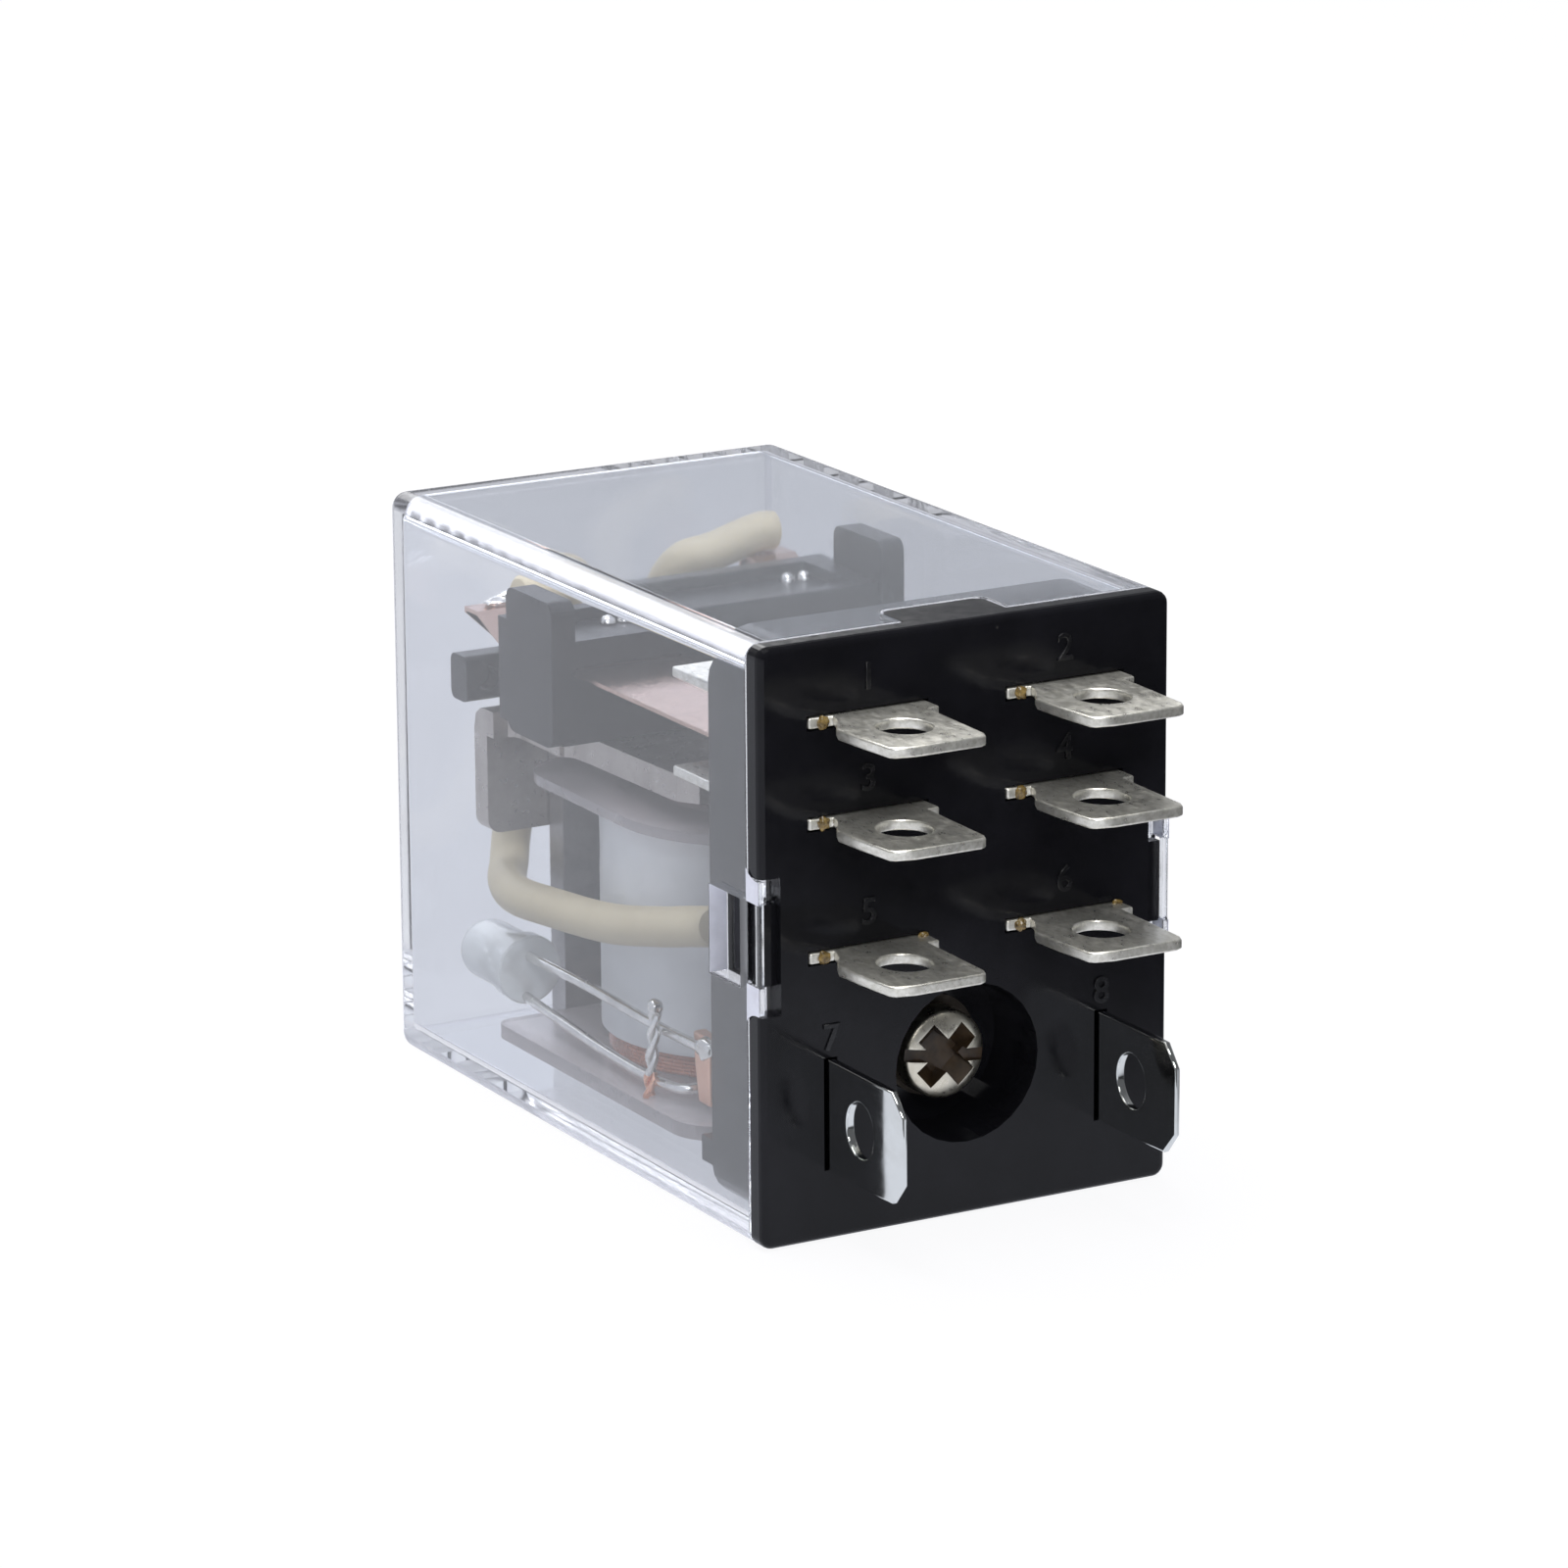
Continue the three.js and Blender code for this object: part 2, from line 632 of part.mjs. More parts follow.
// Notches in the seat plate that the cover's tongues lie in.
function tongueNotches() {
  const half = tongueHeight / 2 + tongueClearance;
  return [-1, 1].map((side) => {
    const near = side * plugHalfWidth;
    const far = side * coverWidth;
    return block(
      Math.min(near, far), Math.max(near, far), -overrun, seatThickness + overrun,
      tongueRise - half, tongueRise + half,
    );
  });
}

// A guide block in each tongue's slot, and a wedge behind the bridge that keeps the cover on.
function snapHooks() {
  const guideHalf = slotHeight / 2 - hookSideClearance;
  const wedgeHalf = windowHeight / 2 - hookSideClearance;
  const guideFront = tongueSetback + slotFrontBar + rimSeam;
  const wedgeFront = windowFront + rimSeam;
  const tip = plugHalfWidth + hookProjection;
  const root = plugHalfWidth - plugWall / 2;
  return [-1, 1].flatMap((side) => {
    const guide = block(
      Math.min(side * root, side * tip), Math.max(side * root, side * tip),
      guideFront, slotRear - rimSeam, tongueRise - guideHalf, tongueRise + guideHalf,
    );
    const wedgeOutline = polygon([
      [side * root, wedgeFront], [side * tip, wedgeFront],
      [side * plugHalfWidth, wedgeFront + hookLength], [side * root, wedgeFront + hookLength],
    ]);
    return [guide, solid(push(wedgeOutline, "z", tongueRise - wedgeHalf, tongueRise + wedgeHalf))];
  });
}

// A blade's plate: its edges are bevelled all round, and its tip is coined thinner.
function bladePlate(outline, innerEnd, axis) {
  const half = bladeThickness / 2;
  const bevel = {
    bevelEnabled: true, bevelSize: bladeEdgeBevel, bevelOffset: -bladeEdgeBevel,
    bevelThickness: bladeEdgeBevel, bevelSegments: 1,
  };
  const plate = solid(push(polygon(outline), axis, bladeEdgeBevel - half, half - bladeEdgeBevel, bevel));
  const [tip, tipHalf] = [-bladeLength, bladeTipThickness / 2];
  const side = [
    [tip, -tipHalf], [tip + bladeTipLength, -half], [innerEnd, -half], [innerEnd, half],
    [tip + bladeTipLength, half], [tip, tipHalf],
  ];
  const coined = axis === "z" ? polygon(side) : polygon(side.map(([y, x]) => [x, y]));
  return plate.intersect(solid(push(coined, axis === "z" ? "x" : "z", -coverWidth, coverWidth)));
}

// A flat blade with a shouldered root outside and a plain tail inside.
function contactTerminal(column, row, innerEnd) {
  const outline = contactBladeShares.map(([across, out]) => [across * bladeRootWidth, -out * bladeLength]);
  const half = bladeRootWidth / 2;
  const body = bladePlate([...outline, [half, innerEnd], [-half, innerEnd]], innerEnd, "z");
  const hole = solid(push(
    ellipse(0, -bladeHoleSetback, bladeHoleWidth / 2, bladeHoleLength / 2),
    "z", -overrun, overrun, { curveSegments: roundSteps / 2 },
  ));
  return cut(body, hole).translate([column, 0, row]);
}

function coilTerminal(column) {
  const half = coilBladeWidth / 2;
  const outline = coilBladeShares.map(([up, out]) => [-out * bladeLength, up * coilBladeWidth]);
  const tailFoot = coilTailInset - half;
  const body = bladePlate([
    ...outline, [plugDepth, half], [plugDepth, coilTailTop], [coilTerminalEnd, coilTailTop],
    [coilTerminalEnd, tailFoot], [plugDepth, tailFoot], [plugDepth, -half],
  ], coilTerminalEnd, "x");
  const hole = solid(push(
    ellipse(-bladeHoleSetback, 0, bladeHoleLength / 2, bladeHoleWidth / 2),
    "x", -overrun, overrun, { curveSegments: roundSteps / 2 },
  ));
  return cut(body, hole).translate([column, 0, coilRow]);
}

// A contact button with a slightly domed face, turned about Z; its foot lies at the first height.
function contactButton(column, foot, height) {
  const radius = contactDiameter / 2;
  const edge = foot + height * (1 - contactDomeShare);
  const profile = [
    [0, foot], [radius, foot], [radius, edge], [radius / 2, foot + height], [0, foot + height],
  ];
  return turned(profile, "z", column, contactSetback);
}

// A rivet whose upper and lower heads hold the leaf spring between them.
function movingContact(column) {
  const shank = rivetDiameter / 2;
  const radius = contactDiameter / 2;
  const [top, bottom] = [leafTop + contactFootGap, leafBottom - contactFootGap];
  const [crown, sole] = [leafTop + movingHeadTop, leafBottom - movingHeadBottom];
  const shoulder = movingHeadTop * contactDomeShare;
  const heel = movingHeadBottom * contactDomeShare;
  return turned([
    [0, sole], [radius / 2, sole], [radius, sole + heel], [radius, bottom], [shank, bottom],
    [shank, top], [radius, top], [radius, crown - shoulder], [radius / 2, crown], [0, crown],
  ], "z", column, contactSetback);
}

// A thin leaf: flat to the card, a little higher behind it, with a pointed tab bent down at its end.
function leafSpring(side) {
  const rise = [leafRiseEnd, leafTop + leafRise];
  const strip = polygon([
    [leafFront, leafBottom], [cardRear, leafBottom], [leafRiseEnd, leafBottom + leafRise],
    [leafEnd, leafBottom + leafRise], [leafEnd, leafTop + leafRise], rise, [cardRear, leafTop],
    [leafFront, leafTop],
  ]);
  const bent = solid(push(strip, "x", -coverWidth, coverWidth));
  const [inner, outer] = [columnOffset - leafWidth / 2, columnOffset + leafWidth / 2];
  const front = roundedRectangle(inner, outer, leafFront, cardRear, leafFrontRadius);
  const tailFront = cardRear + leafSlotClearance;
  const middle = block(inner, outer, cardFront, tailFront + leafSlotClearance, 0, coverHeight);
  const tail = block(leafTailInner, leafTailOuter, tailFront, leafEnd, 0, coverHeight);
  const plan = join(solid(push(front, "z", 0, coverHeight)), middle, tail);
  const shoulder = leafBottom + leafRise + leafThickness / 2;
  const point = polygon([
    [leafTailInner, shoulder], [leafTailOuter, shoulder], [leafTailOuter, shoulder - leafThickness],
    [leafTailInner + leafTailWidth / 4, shoulder - leafTabDrop], [leafTailInner, shoulder - leafTabDrop],
  ]);
  const tab = solid(push(point, "y", leafEnd - leafThickness, leafEnd));
  const hole = bar("z", columnOffset, contactSetback, rivetDiameter / 2 + rivetClearance, 0, coverHeight);
  return handed(cut(join(bent.intersect(plan), tab), hole), side);
}

// Pieces on the right are modelled; those on the left are their mirror image.
function handed(body, side) {
  return side > 0 ? body : body.mirror([1, 0, 0]);
}

// Black card on the armature: it holds both leaves, stands up at the sides, reaches back on a beam
// with two lugs, and its pegs are staked under the armature.
function contactCard() {
  const half = cavityHalfWidth - cardMargin;
  const body = block(-half, half, cardFront, cardRear, cardBottom, cardTop);
  const earOutline = roundedRectangle(earFront, earRear, cardBottom, earTop, earCornerRadius);
  const earOuter = cavityHalfWidth - earMargin;
  const ears = [-earOuter, earOuter - earThickness].map((left) => (
    solid(push(earOutline, "x", left, left + earThickness))
  ));
  const recess = block(
    -half, half, cardFront + cardTopRim, cardRear - cardTopRim, cardTop - cardTopRecess, cardTop + overrun,
  ).intersect(block(
    earThickness - earOuter + cardTopRim, earOuter - earThickness - cardTopRim, 0, coverEnd, 0, coverHeight,
  ));
  const lugTop = leafHeight - rearLugDrop;
  const beamHalf = cavityHalfWidth - beamMargin;
  const beamRear = rearLugFront + beamOverlap;
  const beam = block(-beamHalf, beamHalf, cardRear - beamOverlap, beamRear, cardBottom, lugTop);
  const lugOuter = cavityHalfWidth - rearLugMargin;
  const lugOutline = roundedRectangle(rearLugFront, rearLugEnd, cardBottom, lugTop, lugCornerRadius);
  const lugs = [-lugOuter, lugOuter - rearLugWidth].map((left) => (
    solid(push(lugOutline, "x", left, left + rearLugWidth))
  ));
  const pegFoot = hingeHeight - pegHeadHeight;
  const pegs = [-pegOffset, pegOffset].flatMap((column) => [
    bar("z", column, pegSetback, pegDiameter / 2, pegFoot, leafBottom),
    turned([
      [0, pegFoot], [pegDiameter / 2, pegFoot], [pegHeadDiameter / 2, pegFoot + pegHeadHeight / 2],
      [pegHeadDiameter / 2, hingeHeight - pegClearance], [0, hingeHeight - pegClearance],
    ], "z", column, pegSetback),
  ]);
  const slotHalf = leafWidth / 2 + leafSlotClearance;
  const slots = [-columnOffset, columnOffset].map((column) => block(
    column - slotHalf, column + slotHalf, cardFront - overrun, cardRear + overrun,
    leafBottom - leafSlotClearance, leafTop + leafSlotClearance,
  ));
  const dimpleColumn = lugOuter - rearLugHoleInset;
  const dimples = [-dimpleColumn, dimpleColumn].map((column) => bar(
    "y", column, (cardBottom + lugTop) / 2, rearLugHoleDiameter / 2, rearLugFront - overrun,
    rearLugFront + rearLugHoleDepth,
  ));
  return cut(join(body, ...ears, beam, ...lugs, ...pegs), recess, ...slots, ...dimples);
}

// Bent steel armature: a rounded tongue over the pole, a waist, a wide tail behind the yoke and a lug.
function armature() {
  const half = cavityHalfWidth - tailMargin;
  const waist = cavityHalfWidth - armatureMargin;
  const tongue = cavityHalfWidth - tongueMargin;
  const nose = cavityHalfWidth - noseMargin;
  const plan = new THREE.Shape();
  plan.moveTo(half, tailOuterFace + overrun);
  plan.lineTo(half, armatureNeck);
  plan.lineTo(waist + neckRadius, armatureNeck);
  plan.quadraticCurveTo(waist, armatureNeck, waist, armatureNeck - neckRadius);
  plan.lineTo(waist, armatureShoulder);
  plan.quadraticCurveTo(tongue, armatureShoulder, tongue, armatureShoulder - tongueFlareLength);
  plan.lineTo(nose, armatureFront + armatureNoseRadius);
  plan.quadraticCurveTo(nose, armatureFront, nose - armatureNoseRadius, armatureFront);
  plan.lineTo(armatureNoseRadius - nose, armatureFront);
  plan.quadraticCurveTo(-nose, armatureFront, -nose, armatureFront + armatureNoseRadius);
  plan.lineTo(-tongue, armatureShoulder - tongueFlareLength);
  plan.quadraticCurveTo(-tongue, armatureShoulder, -waist, armatureShoulder);
  plan.lineTo(-waist, armatureNeck - neckRadius);
  plan.quadraticCurveTo(-waist, armatureNeck, -waist - neckRadius, armatureNeck);
  plan.lineTo(-half, armatureNeck);
  plan.lineTo(-half, tailOuterFace + overrun);
  const profile = new THREE.Shape();
  profile.moveTo(armatureFront - overrun, hingeHeight);
  profile.lineTo(hingeSetback, hingeHeight);
  profile.lineTo(hingeSetback, tailBottom);
  profile.lineTo(tailOuterFace, tailBottom);
  profile.lineTo(tailOuterFace, armatureTop - armatureBendRadius);
  profile.quadraticCurveTo(tailOuterFace, armatureTop, tailOuterFace - armatureBendRadius, armatureTop);
  profile.lineTo(armatureFront - overrun, armatureTop);
  const bent = solid(push(profile, "x", -coverWidth, coverWidth));
  const planned = bent.intersect(solid(push(plan, "z", -coverHeight, coverHeight)));
  const face = roundedRectangle(-half, half, tailBottom, coverHeight, tailCornerRadius);
  const faced = planned.intersect(solid(push(face, "y", 0, coverEnd)));
  const lug = block(
    -springLugWidth / 2, springLugWidth / 2, hingeSetback, tailOuterFace + springLugLength,
    tailBottom, tailBottom + springLugThickness,
  );
  const holes = [-pegOffset, pegOffset].map((column) => (
    bar("z", column, pegSetback, pegDiameter / 2 + pegClearance, 0, coverHeight)
  ));
  return cut(join(faced, lug), ...holes);
}

// Bent steel yoke: a rear leg with a knife edge, a floor, a tapped front leg and a hooked tab.
function yoke() {
  const profile = new THREE.Shape();
  profile.moveTo(yokeFront, yokeFrontTop);
  profile.lineTo(yokeFront, yokeUnderside + yokeBendRadius);
  profile.quadraticCurveTo(yokeFront, yokeUnderside, yokeFront + yokeBendRadius, yokeUnderside);
  profile.lineTo(legOuterFace - yokeBendRadius, yokeUnderside);
  profile.quadraticCurveTo(legOuterFace, yokeUnderside, legOuterFace, yokeUnderside + yokeBendRadius);
  profile.lineTo(legOuterFace, legTop);
  profile.lineTo(legInnerFace, legTop - knifeDrop);
  profile.lineTo(legInnerFace, yokeTopOfFloor);
  profile.lineTo(yokeFront + yokeThickness, yokeTopOfFloor);
  profile.lineTo(yokeFront + yokeThickness, yokeFrontTop);
  const strip = solid(push(profile, "x", -yokeHalfWidth, yokeHalfWidth));
  const tab = block(
    -hookTabWidth / 2, hookTabWidth / 2, legInnerFace, legOuterFace + hookTabLength,
    hookTabTop - hookTabThickness, hookTabTop,
  );
  const tapped = bar("y", 0, screwRow, screwDiameter / 2 + threadClearance, 0, legInnerFace);
  const riveted = bar("z", 0, coilSetback, boreRadius, -coverHeight, 0);
  return cut(join(strip, tab), tapped, riveted);
}

// Core with its pole shoe, riveted through the floor of the yoke.
function core() {
  const [shaft, pole] = [coreRadius, poleDiameter / 2];
  return turned([
    [0, yokeUnderside], [shaft, yokeUnderside], [shaft, poleUnderside], [pole, poleUnderside],
    [pole, poleTop - poleEdge], [pole - poleEdge, poleTop], [0, poleTop],
  ], "z", 0, coilSetback);
}

// A flange of the bobbin, with large rounded corners in front and smaller ones behind.
function flange(halfWidth, front, frontRadius, rearRadius, bottom, thickness) {
  const quarter = Math.PI / 2;
  const outline = new THREE.Shape()
    .absarc(halfWidth - rearRadius, flangeRear - rearRadius, rearRadius, 0, quarter)
    .absarc(rearRadius - halfWidth, flangeRear - rearRadius, rearRadius, quarter, 2 * quarter)
    .absarc(frontRadius - halfWidth, front + frontRadius, frontRadius, 2 * quarter, 3 * quarter)
    .absarc(halfWidth - frontRadius, front + frontRadius, frontRadius, 3 * quarter, 4 * quarter);
  return solid(push(outline, "z", bottom, bottom + thickness, { curveSegments: arcSteps }));
}

// Natural nylon bobbin: a hub between two flanges.
function bobbin() {
  const upper = flange(
    upperFlangeHalfWidth, upperFlangeFront, upperFlangeFrontRadius, upperFlangeRearRadius,
    upperFlangeBottom, upperFlangeThickness,
  );
  const lower = flange(
    lowerFlangeHalfWidth, lowerFlangeFront, lowerFlangeFrontRadius, lowerFlangeRearRadius,
    lowerFlangeBottom, lowerFlangeThickness,
  );
  const hub = bar("z", 0, coilSetback, hubRadius, lowerFlangeBottom, upperFlangeTop);
  const bore = bar("z", 0, coilSetback, boreRadius, -coverHeight, coverHeight);
  return cut(join(hub, upper, lower), bore);
}

function winding() {
  const outside = bar("z", 0, coilSetback, windingRadius, windingBottom, windingTop, windingSteps);
  return cut(outside, bar("z", 0, coilSetback, hubRadius + windingGap, -coverHeight, coverHeight));
}

// White tape wound once round the coil; its outer end laps over its start as a small step.
function coilTape() {
  const outline = [];
  for (let i = 0; i <= tapeSteps; i++) {
    const share = i / tapeSteps;
    const angle = tapeSeam + share * 2 * Math.PI;
    const radius = tapeOuterRadius + share * tapeLap;
    outline.push([Math.cos(angle) * radius, Math.sin(angle) * radius]);
  }
  const wrapped = solid(push(polygon(outline), "z", windingBottom + tapeFootBare, windingTop - tapeTopBare));
  const inside = bar("z", 0, 0, tapeInnerRadius, -coverHeight, coverHeight, windingSteps);
  return cut(wrapped, inside).translate([0, coilSetback, 0]);
}

// Pan-head screw with a cross recess whose arms stand at an angle.
function yokeScrew() {
  const seat = recessDepth - washerThickness - washerGap * 2;
  const face = seat - screwHeadHeight;
  const radius = screwHeadDiameter / 2;
  const shank = screwDiameter / 2;
  const body = turned([
    [0, face], [radius * screwHeadCrownShare, face], [radius, face + screwHeadCrown], [radius, seat],
    [shank, seat], [shank, screwEnd - shank / 2], [shank / 2, screwEnd], [0, screwEnd],
  ], "y", 0, 0);
  const arms = [driveTurn, driveTurn + Math.PI / 2].map((angle) => {
    const arm = polygon([
      [-driveLength / 2, face - overrun], [driveLength / 2, face - overrun], [driveLength / 2, face],
      [driveFloorLength / 2, face + driveDepth], [-driveFloorLength / 2, face + driveDepth],
      [-driveLength / 2, face],
    ]);
    const slot = push(arm, "z", -driveWidth / 2, driveWidth / 2);
    return solid(slot.rotateY(angle));
  });
  return cut(body, ...arms).translate([0, 0, screwRow]);
}

function lockWasher() {
  const rear = recessDepth - washerGap;
  const ring = bar("y", 0, 0, washerDiameter / 2, rear - washerThickness, rear);
  const bore = bar("y", 0, 0, washerBore / 2, 0, coverEnd);
  const slit = block(0, coverWidth, 0, coverEnd, -washerSlit / 2, washerSlit / 2);
  return cut(ring, bore, slit).translate([0, 0, screwRow]);
}

// Lamp with a collar at its foot and a domed end, its axis along Y.
function lamp() {
  const [radius, collar] = [lampDiameter / 2, lampCollarDiameter / 2];
  const dome = [];
  for (let i = 0; i < domeSteps; i++) {
    const angle = (i / domeSteps) * (Math.PI / 2);
    dome.push([Math.cos(angle) * radius, lampEnd - radius + Math.sin(angle) * radius]);
  }
  return turned([
    [0, lampStart], [collar, lampStart], [collar, lampStart + lampCollarLength],
    [radius, lampStart + lampCollarLength], ...dome, [0, lampEnd],
  ], "y", -lampColumn, lampRow);
}

function upperLampWire() {
  const row = lampRow + lampLegPitch / 2;
  return bar("y", -lampColumn, row, wireRadius, wireStart, lampStart - wireGap, wireSides);
}

// The other wire runs back under the first, turns along X in front of the coil and ends at a blade.
function lowerLampWire() {
  const column = coilColumn - bladeThickness / 2 - wireRadius - wireGap;
  const row = lampRow - lampLegPitch / 2;
  return tube([
    [-lampColumn, lampStart - wireGap, row],
    [-lampColumn, (lampStart + crossingSetback) / 2, row],
    [-lampColumn, crossingSetback + wireBend, row],
    [wireBend - lampColumn, crossingSetback, crossingRow],
    [0, crossingSetback, crossingRow],
    [column - wireBend, crossingSetback, crossingRow],
    [column, crossingEnd, crossingRow],
    [column, lowerWireEnd, crossingRow],
  ], wireRadius, wireSteps, wireSides);
}

function resistor() {
  const [half, radius] = [resistorLength / 2, resistorDiameter / 2];
  const [waist, cap] = [radius * resistorWaistShare, half * (1 - resistorCapShare * 2)];
  const profile = [
    [0, -half], [waist, -half], [radius, -(half + cap) / 2], [waist, -cap], [waist, cap],
    [radius, (half + cap) / 2], [waist, half], [0, half],
  ];
  const body = turned(profile, "y", 0, 0, wireSides * 2).rotate([0, 0, quarterTurn]);
  const bore = bar("x", 0, 0, wireRadius + wireGap, -resistorLength, resistorLength, wireSides);
  return cut(body, bore).translate([0, crossingSetback, crossingRow]);
}

// Two strands twisted together, as a two-lobed section that turns as it rises.
function twist(column, setback, lean, foot, top) {
  const rings = [];
  const count = Math.ceil(((top - foot) / twistPitch) * twistStepsPerTurn);
  for (let r = 0; r <= count; r++) {
    const height = foot + (top - foot) * (r / count);
    const turn = ((height - foot) / twistPitch) * Math.PI;
    const ring = [];
    for (let s = 0; s < twistSides; s++) {
      const angle = (s / twistSides) * 2 * Math.PI;
      const share = twistWaistShare + (1 - twistWaistShare) * Math.abs(Math.cos(angle));
      const radius = (twistDiameter / 2) * share;
      const [x, y] = [Math.cos(angle + turn) * radius, Math.sin(angle + turn) * radius];
      ring.push(new THREE.Vector3(column + x, setback + y - lean * (r / count), height));
    }
    rings.push(ring);
  }
  return skinned(rings);
}

// Return spring: one unbroken wire, straight for its own thickness at each end.
function springPath() {
  const foot = hookTabTop + springEndGap;
  const head = tailBottom - springEndGap;
  const low = foot + springWireDiameter * 2;
  const high = head - springWireDiameter * 2;
  const points = [[springRadius, foot], [springRadius, foot + springWireDiameter]].map(([x, z]) => (
    [x, springSetback, z]
  ));
  const count = Math.floor((high - low) / springPitch) * springStepsPerCurl;
  for (let i = 0; i <= count; i++) {
    const angle = (i / springStepsPerCurl) * 2 * Math.PI;
    const [x, y] = [Math.cos(angle) * springRadius, Math.sin(angle) * springRadius];
    points.push([x, springSetback + y, low + (high - low) * (i / count)]);
  }
  points.push([springRadius, springSetback, head - springWireDiameter], [springRadius, springSetback, head]);
  return points;
}

// Smallest distance between the wire's surfaces, over points more than half a curl apart.
function selfGap(path, diameter, stepsApart) {
  let nearest = Infinity;
  path.forEach((a, i) => path.slice(i + stepsApart).forEach((b) => {
    nearest = Math.min(nearest, Math.hypot(a[0] - b[0], a[1] - b[1], a[2] - b[2]));
  }));
  return nearest - diameter;
}

// The right lead starts further out, on top of its leaf's tail.
function flexLead(side) {
  const shares = side > 0 ? [...rightLeadStartShares, ...leadRouteShares.slice(1)] : leadRouteShares;
  const route = shares.map(([across, setback, up]) => (
    [across * cavityHalfWidth, setback * cavityEnd, tailBottom + up * (up > 0 ? leadRise : leadFall)]
  ));
  return handed(tube(route, leadRadius, leadSteps, leadSides), -side);
}

const springWire = springPath();
const springTube = tube(springWire, springWireDiameter / 2, springWire.length - 1, springSides);
const springSelfGap = selfGap(springWire, springWireDiameter, springStepsPerCurl - 2);
console.log("return spring self-gap mm", springSelfGap.toFixed(2));

const relay = new THREE.Group();
relay.name = "plug_in_relay";
const add = (name, body, material) => relay.add(mesh(name, body, material));

add("base", base(), "blackMoulding");
add("dust_cover", dustCover(), "clearPolycarbonate");
const contactRowsByName = [["nc", closedRow, 1], ["no", openRow, 3], ["com", commonRow, 5]];
for (const [kind, row, first] of contactRowsByName) {
  const end = kind === "com" ? commonTerminalEnd : contactTerminalEnd;
  add(`${kind}_terminal_${first}`, contactTerminal(-columnOffset, row, end), "nickelPlate");
  add(`${kind}_terminal_${first + 1}`, contactTerminal(columnOffset, row, end), "nickelPlate");
}
add("coil_terminal_7", coilTerminal(-coilColumn), "nickelPlate");
add("coil_terminal_8", coilTerminal(coilColumn), "nickelPlate");
for (const [side, label, number] of [[-1, "left", 0], [1, "right", 1]]) {
  const column = side * columnOffset;
  const closedFoot = closedPlateBottom - contactFootGap;
  const openFoot = openPlateTop + contactFootGap;
  const fixedHeight = closedContactHeight - contactFootGap;
  add(`nc_contact_${number + 1}`, contactButton(column, closedFoot, -fixedHeight), "silverContact");
  add(`no_contact_${number + 3}`, contactButton(column, openFoot, openContactHeight), "silverContact");
  add(`moving_contact_${label}`, movingContact(column), "silverContact");
  add(`leaf_spring_${label}`, leafSpring(side), "copperAlloy");
  add(`flex_lead_${label}`, flexLead(side), "beigeSleeve");
}
add("contact_card", contactCard(), "blackMoulding");
add("armature", armature(), "steelPlate");
add("yoke", yoke(), "steelPlate");
add("core", core(), "steelPlate");
add("bobbin", bobbin(), "naturalNylon");
add("winding", winding(), "enamelledCopper");
add("coil_tape", coilTape(), "whiteTape");
add("yoke_screw", yokeScrew(), "nickelPlate");
add("lock_washer", lockWasher(), "nickelPlate");
add("led_lamp", lamp(), "lampResin");
add("led_wire_upper", upperLampWire(), "tinnedWire");
add("led_wire_lower", lowerLampWire(), "tinnedWire");
add("resistor", resistor(), "resistorCoat");
const startColumn = -lampColumn - wireRadius - twistDiameter / 2 - wireGap;
const finishColumn = coilColumn + bladeThickness / 2 + twistDiameter / 2 + wireGap;
const twistFoot = lowerFlangeTop + wireGap;
const startTop = twistFoot + twistHeight;
const finishTop = coilRow + coilTailTop;
add("coil_tail_start", twist(startColumn, twistSetback, twistLean, twistFoot, startTop), "tinnedWire");
add("coil_tail_finish", twist(finishColumn, finishTwistSetback, 0, twistFoot, finishTop), "tinnedWire");
add("return_spring", springTube, "nickelPlate");

export default relay;
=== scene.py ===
# %% [markdown]
# Plug-in relay with a clear dust cover: a black base with eight flat blades, and inside the cover a coil, a
# hinged armature with a contact card, leaf springs, flexible leads, a lamp and a resistor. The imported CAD
# model is the frame. Lengths are in millimetres unless a name says metres, and MM turns them into the
# metres that Blender and the frame use.

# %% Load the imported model
import math

import bmesh
import bpy
from mathutils import Matrix, Vector, noise


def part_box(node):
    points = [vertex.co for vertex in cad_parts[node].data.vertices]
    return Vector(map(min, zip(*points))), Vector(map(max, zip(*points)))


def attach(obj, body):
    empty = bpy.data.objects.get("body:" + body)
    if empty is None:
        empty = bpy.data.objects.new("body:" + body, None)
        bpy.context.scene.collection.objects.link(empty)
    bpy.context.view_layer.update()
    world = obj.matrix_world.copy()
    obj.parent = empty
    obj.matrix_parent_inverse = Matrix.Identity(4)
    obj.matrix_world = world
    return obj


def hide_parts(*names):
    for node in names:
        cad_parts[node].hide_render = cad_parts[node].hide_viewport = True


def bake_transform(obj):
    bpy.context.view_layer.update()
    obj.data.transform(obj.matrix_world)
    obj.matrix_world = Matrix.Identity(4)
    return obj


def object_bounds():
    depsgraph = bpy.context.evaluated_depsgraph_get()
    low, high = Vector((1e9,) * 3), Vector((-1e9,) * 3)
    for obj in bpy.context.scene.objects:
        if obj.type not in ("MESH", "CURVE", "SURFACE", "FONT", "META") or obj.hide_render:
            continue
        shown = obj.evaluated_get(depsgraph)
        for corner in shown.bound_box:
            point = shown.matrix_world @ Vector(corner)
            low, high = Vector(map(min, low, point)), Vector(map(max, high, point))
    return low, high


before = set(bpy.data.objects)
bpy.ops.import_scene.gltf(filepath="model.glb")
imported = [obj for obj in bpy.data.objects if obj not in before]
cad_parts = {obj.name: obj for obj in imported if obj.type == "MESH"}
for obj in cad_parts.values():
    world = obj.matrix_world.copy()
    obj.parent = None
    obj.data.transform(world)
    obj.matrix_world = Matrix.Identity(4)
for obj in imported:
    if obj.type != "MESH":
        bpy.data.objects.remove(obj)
cad_bounds = [[float(v) for v in corner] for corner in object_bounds()]
MM = 0.001
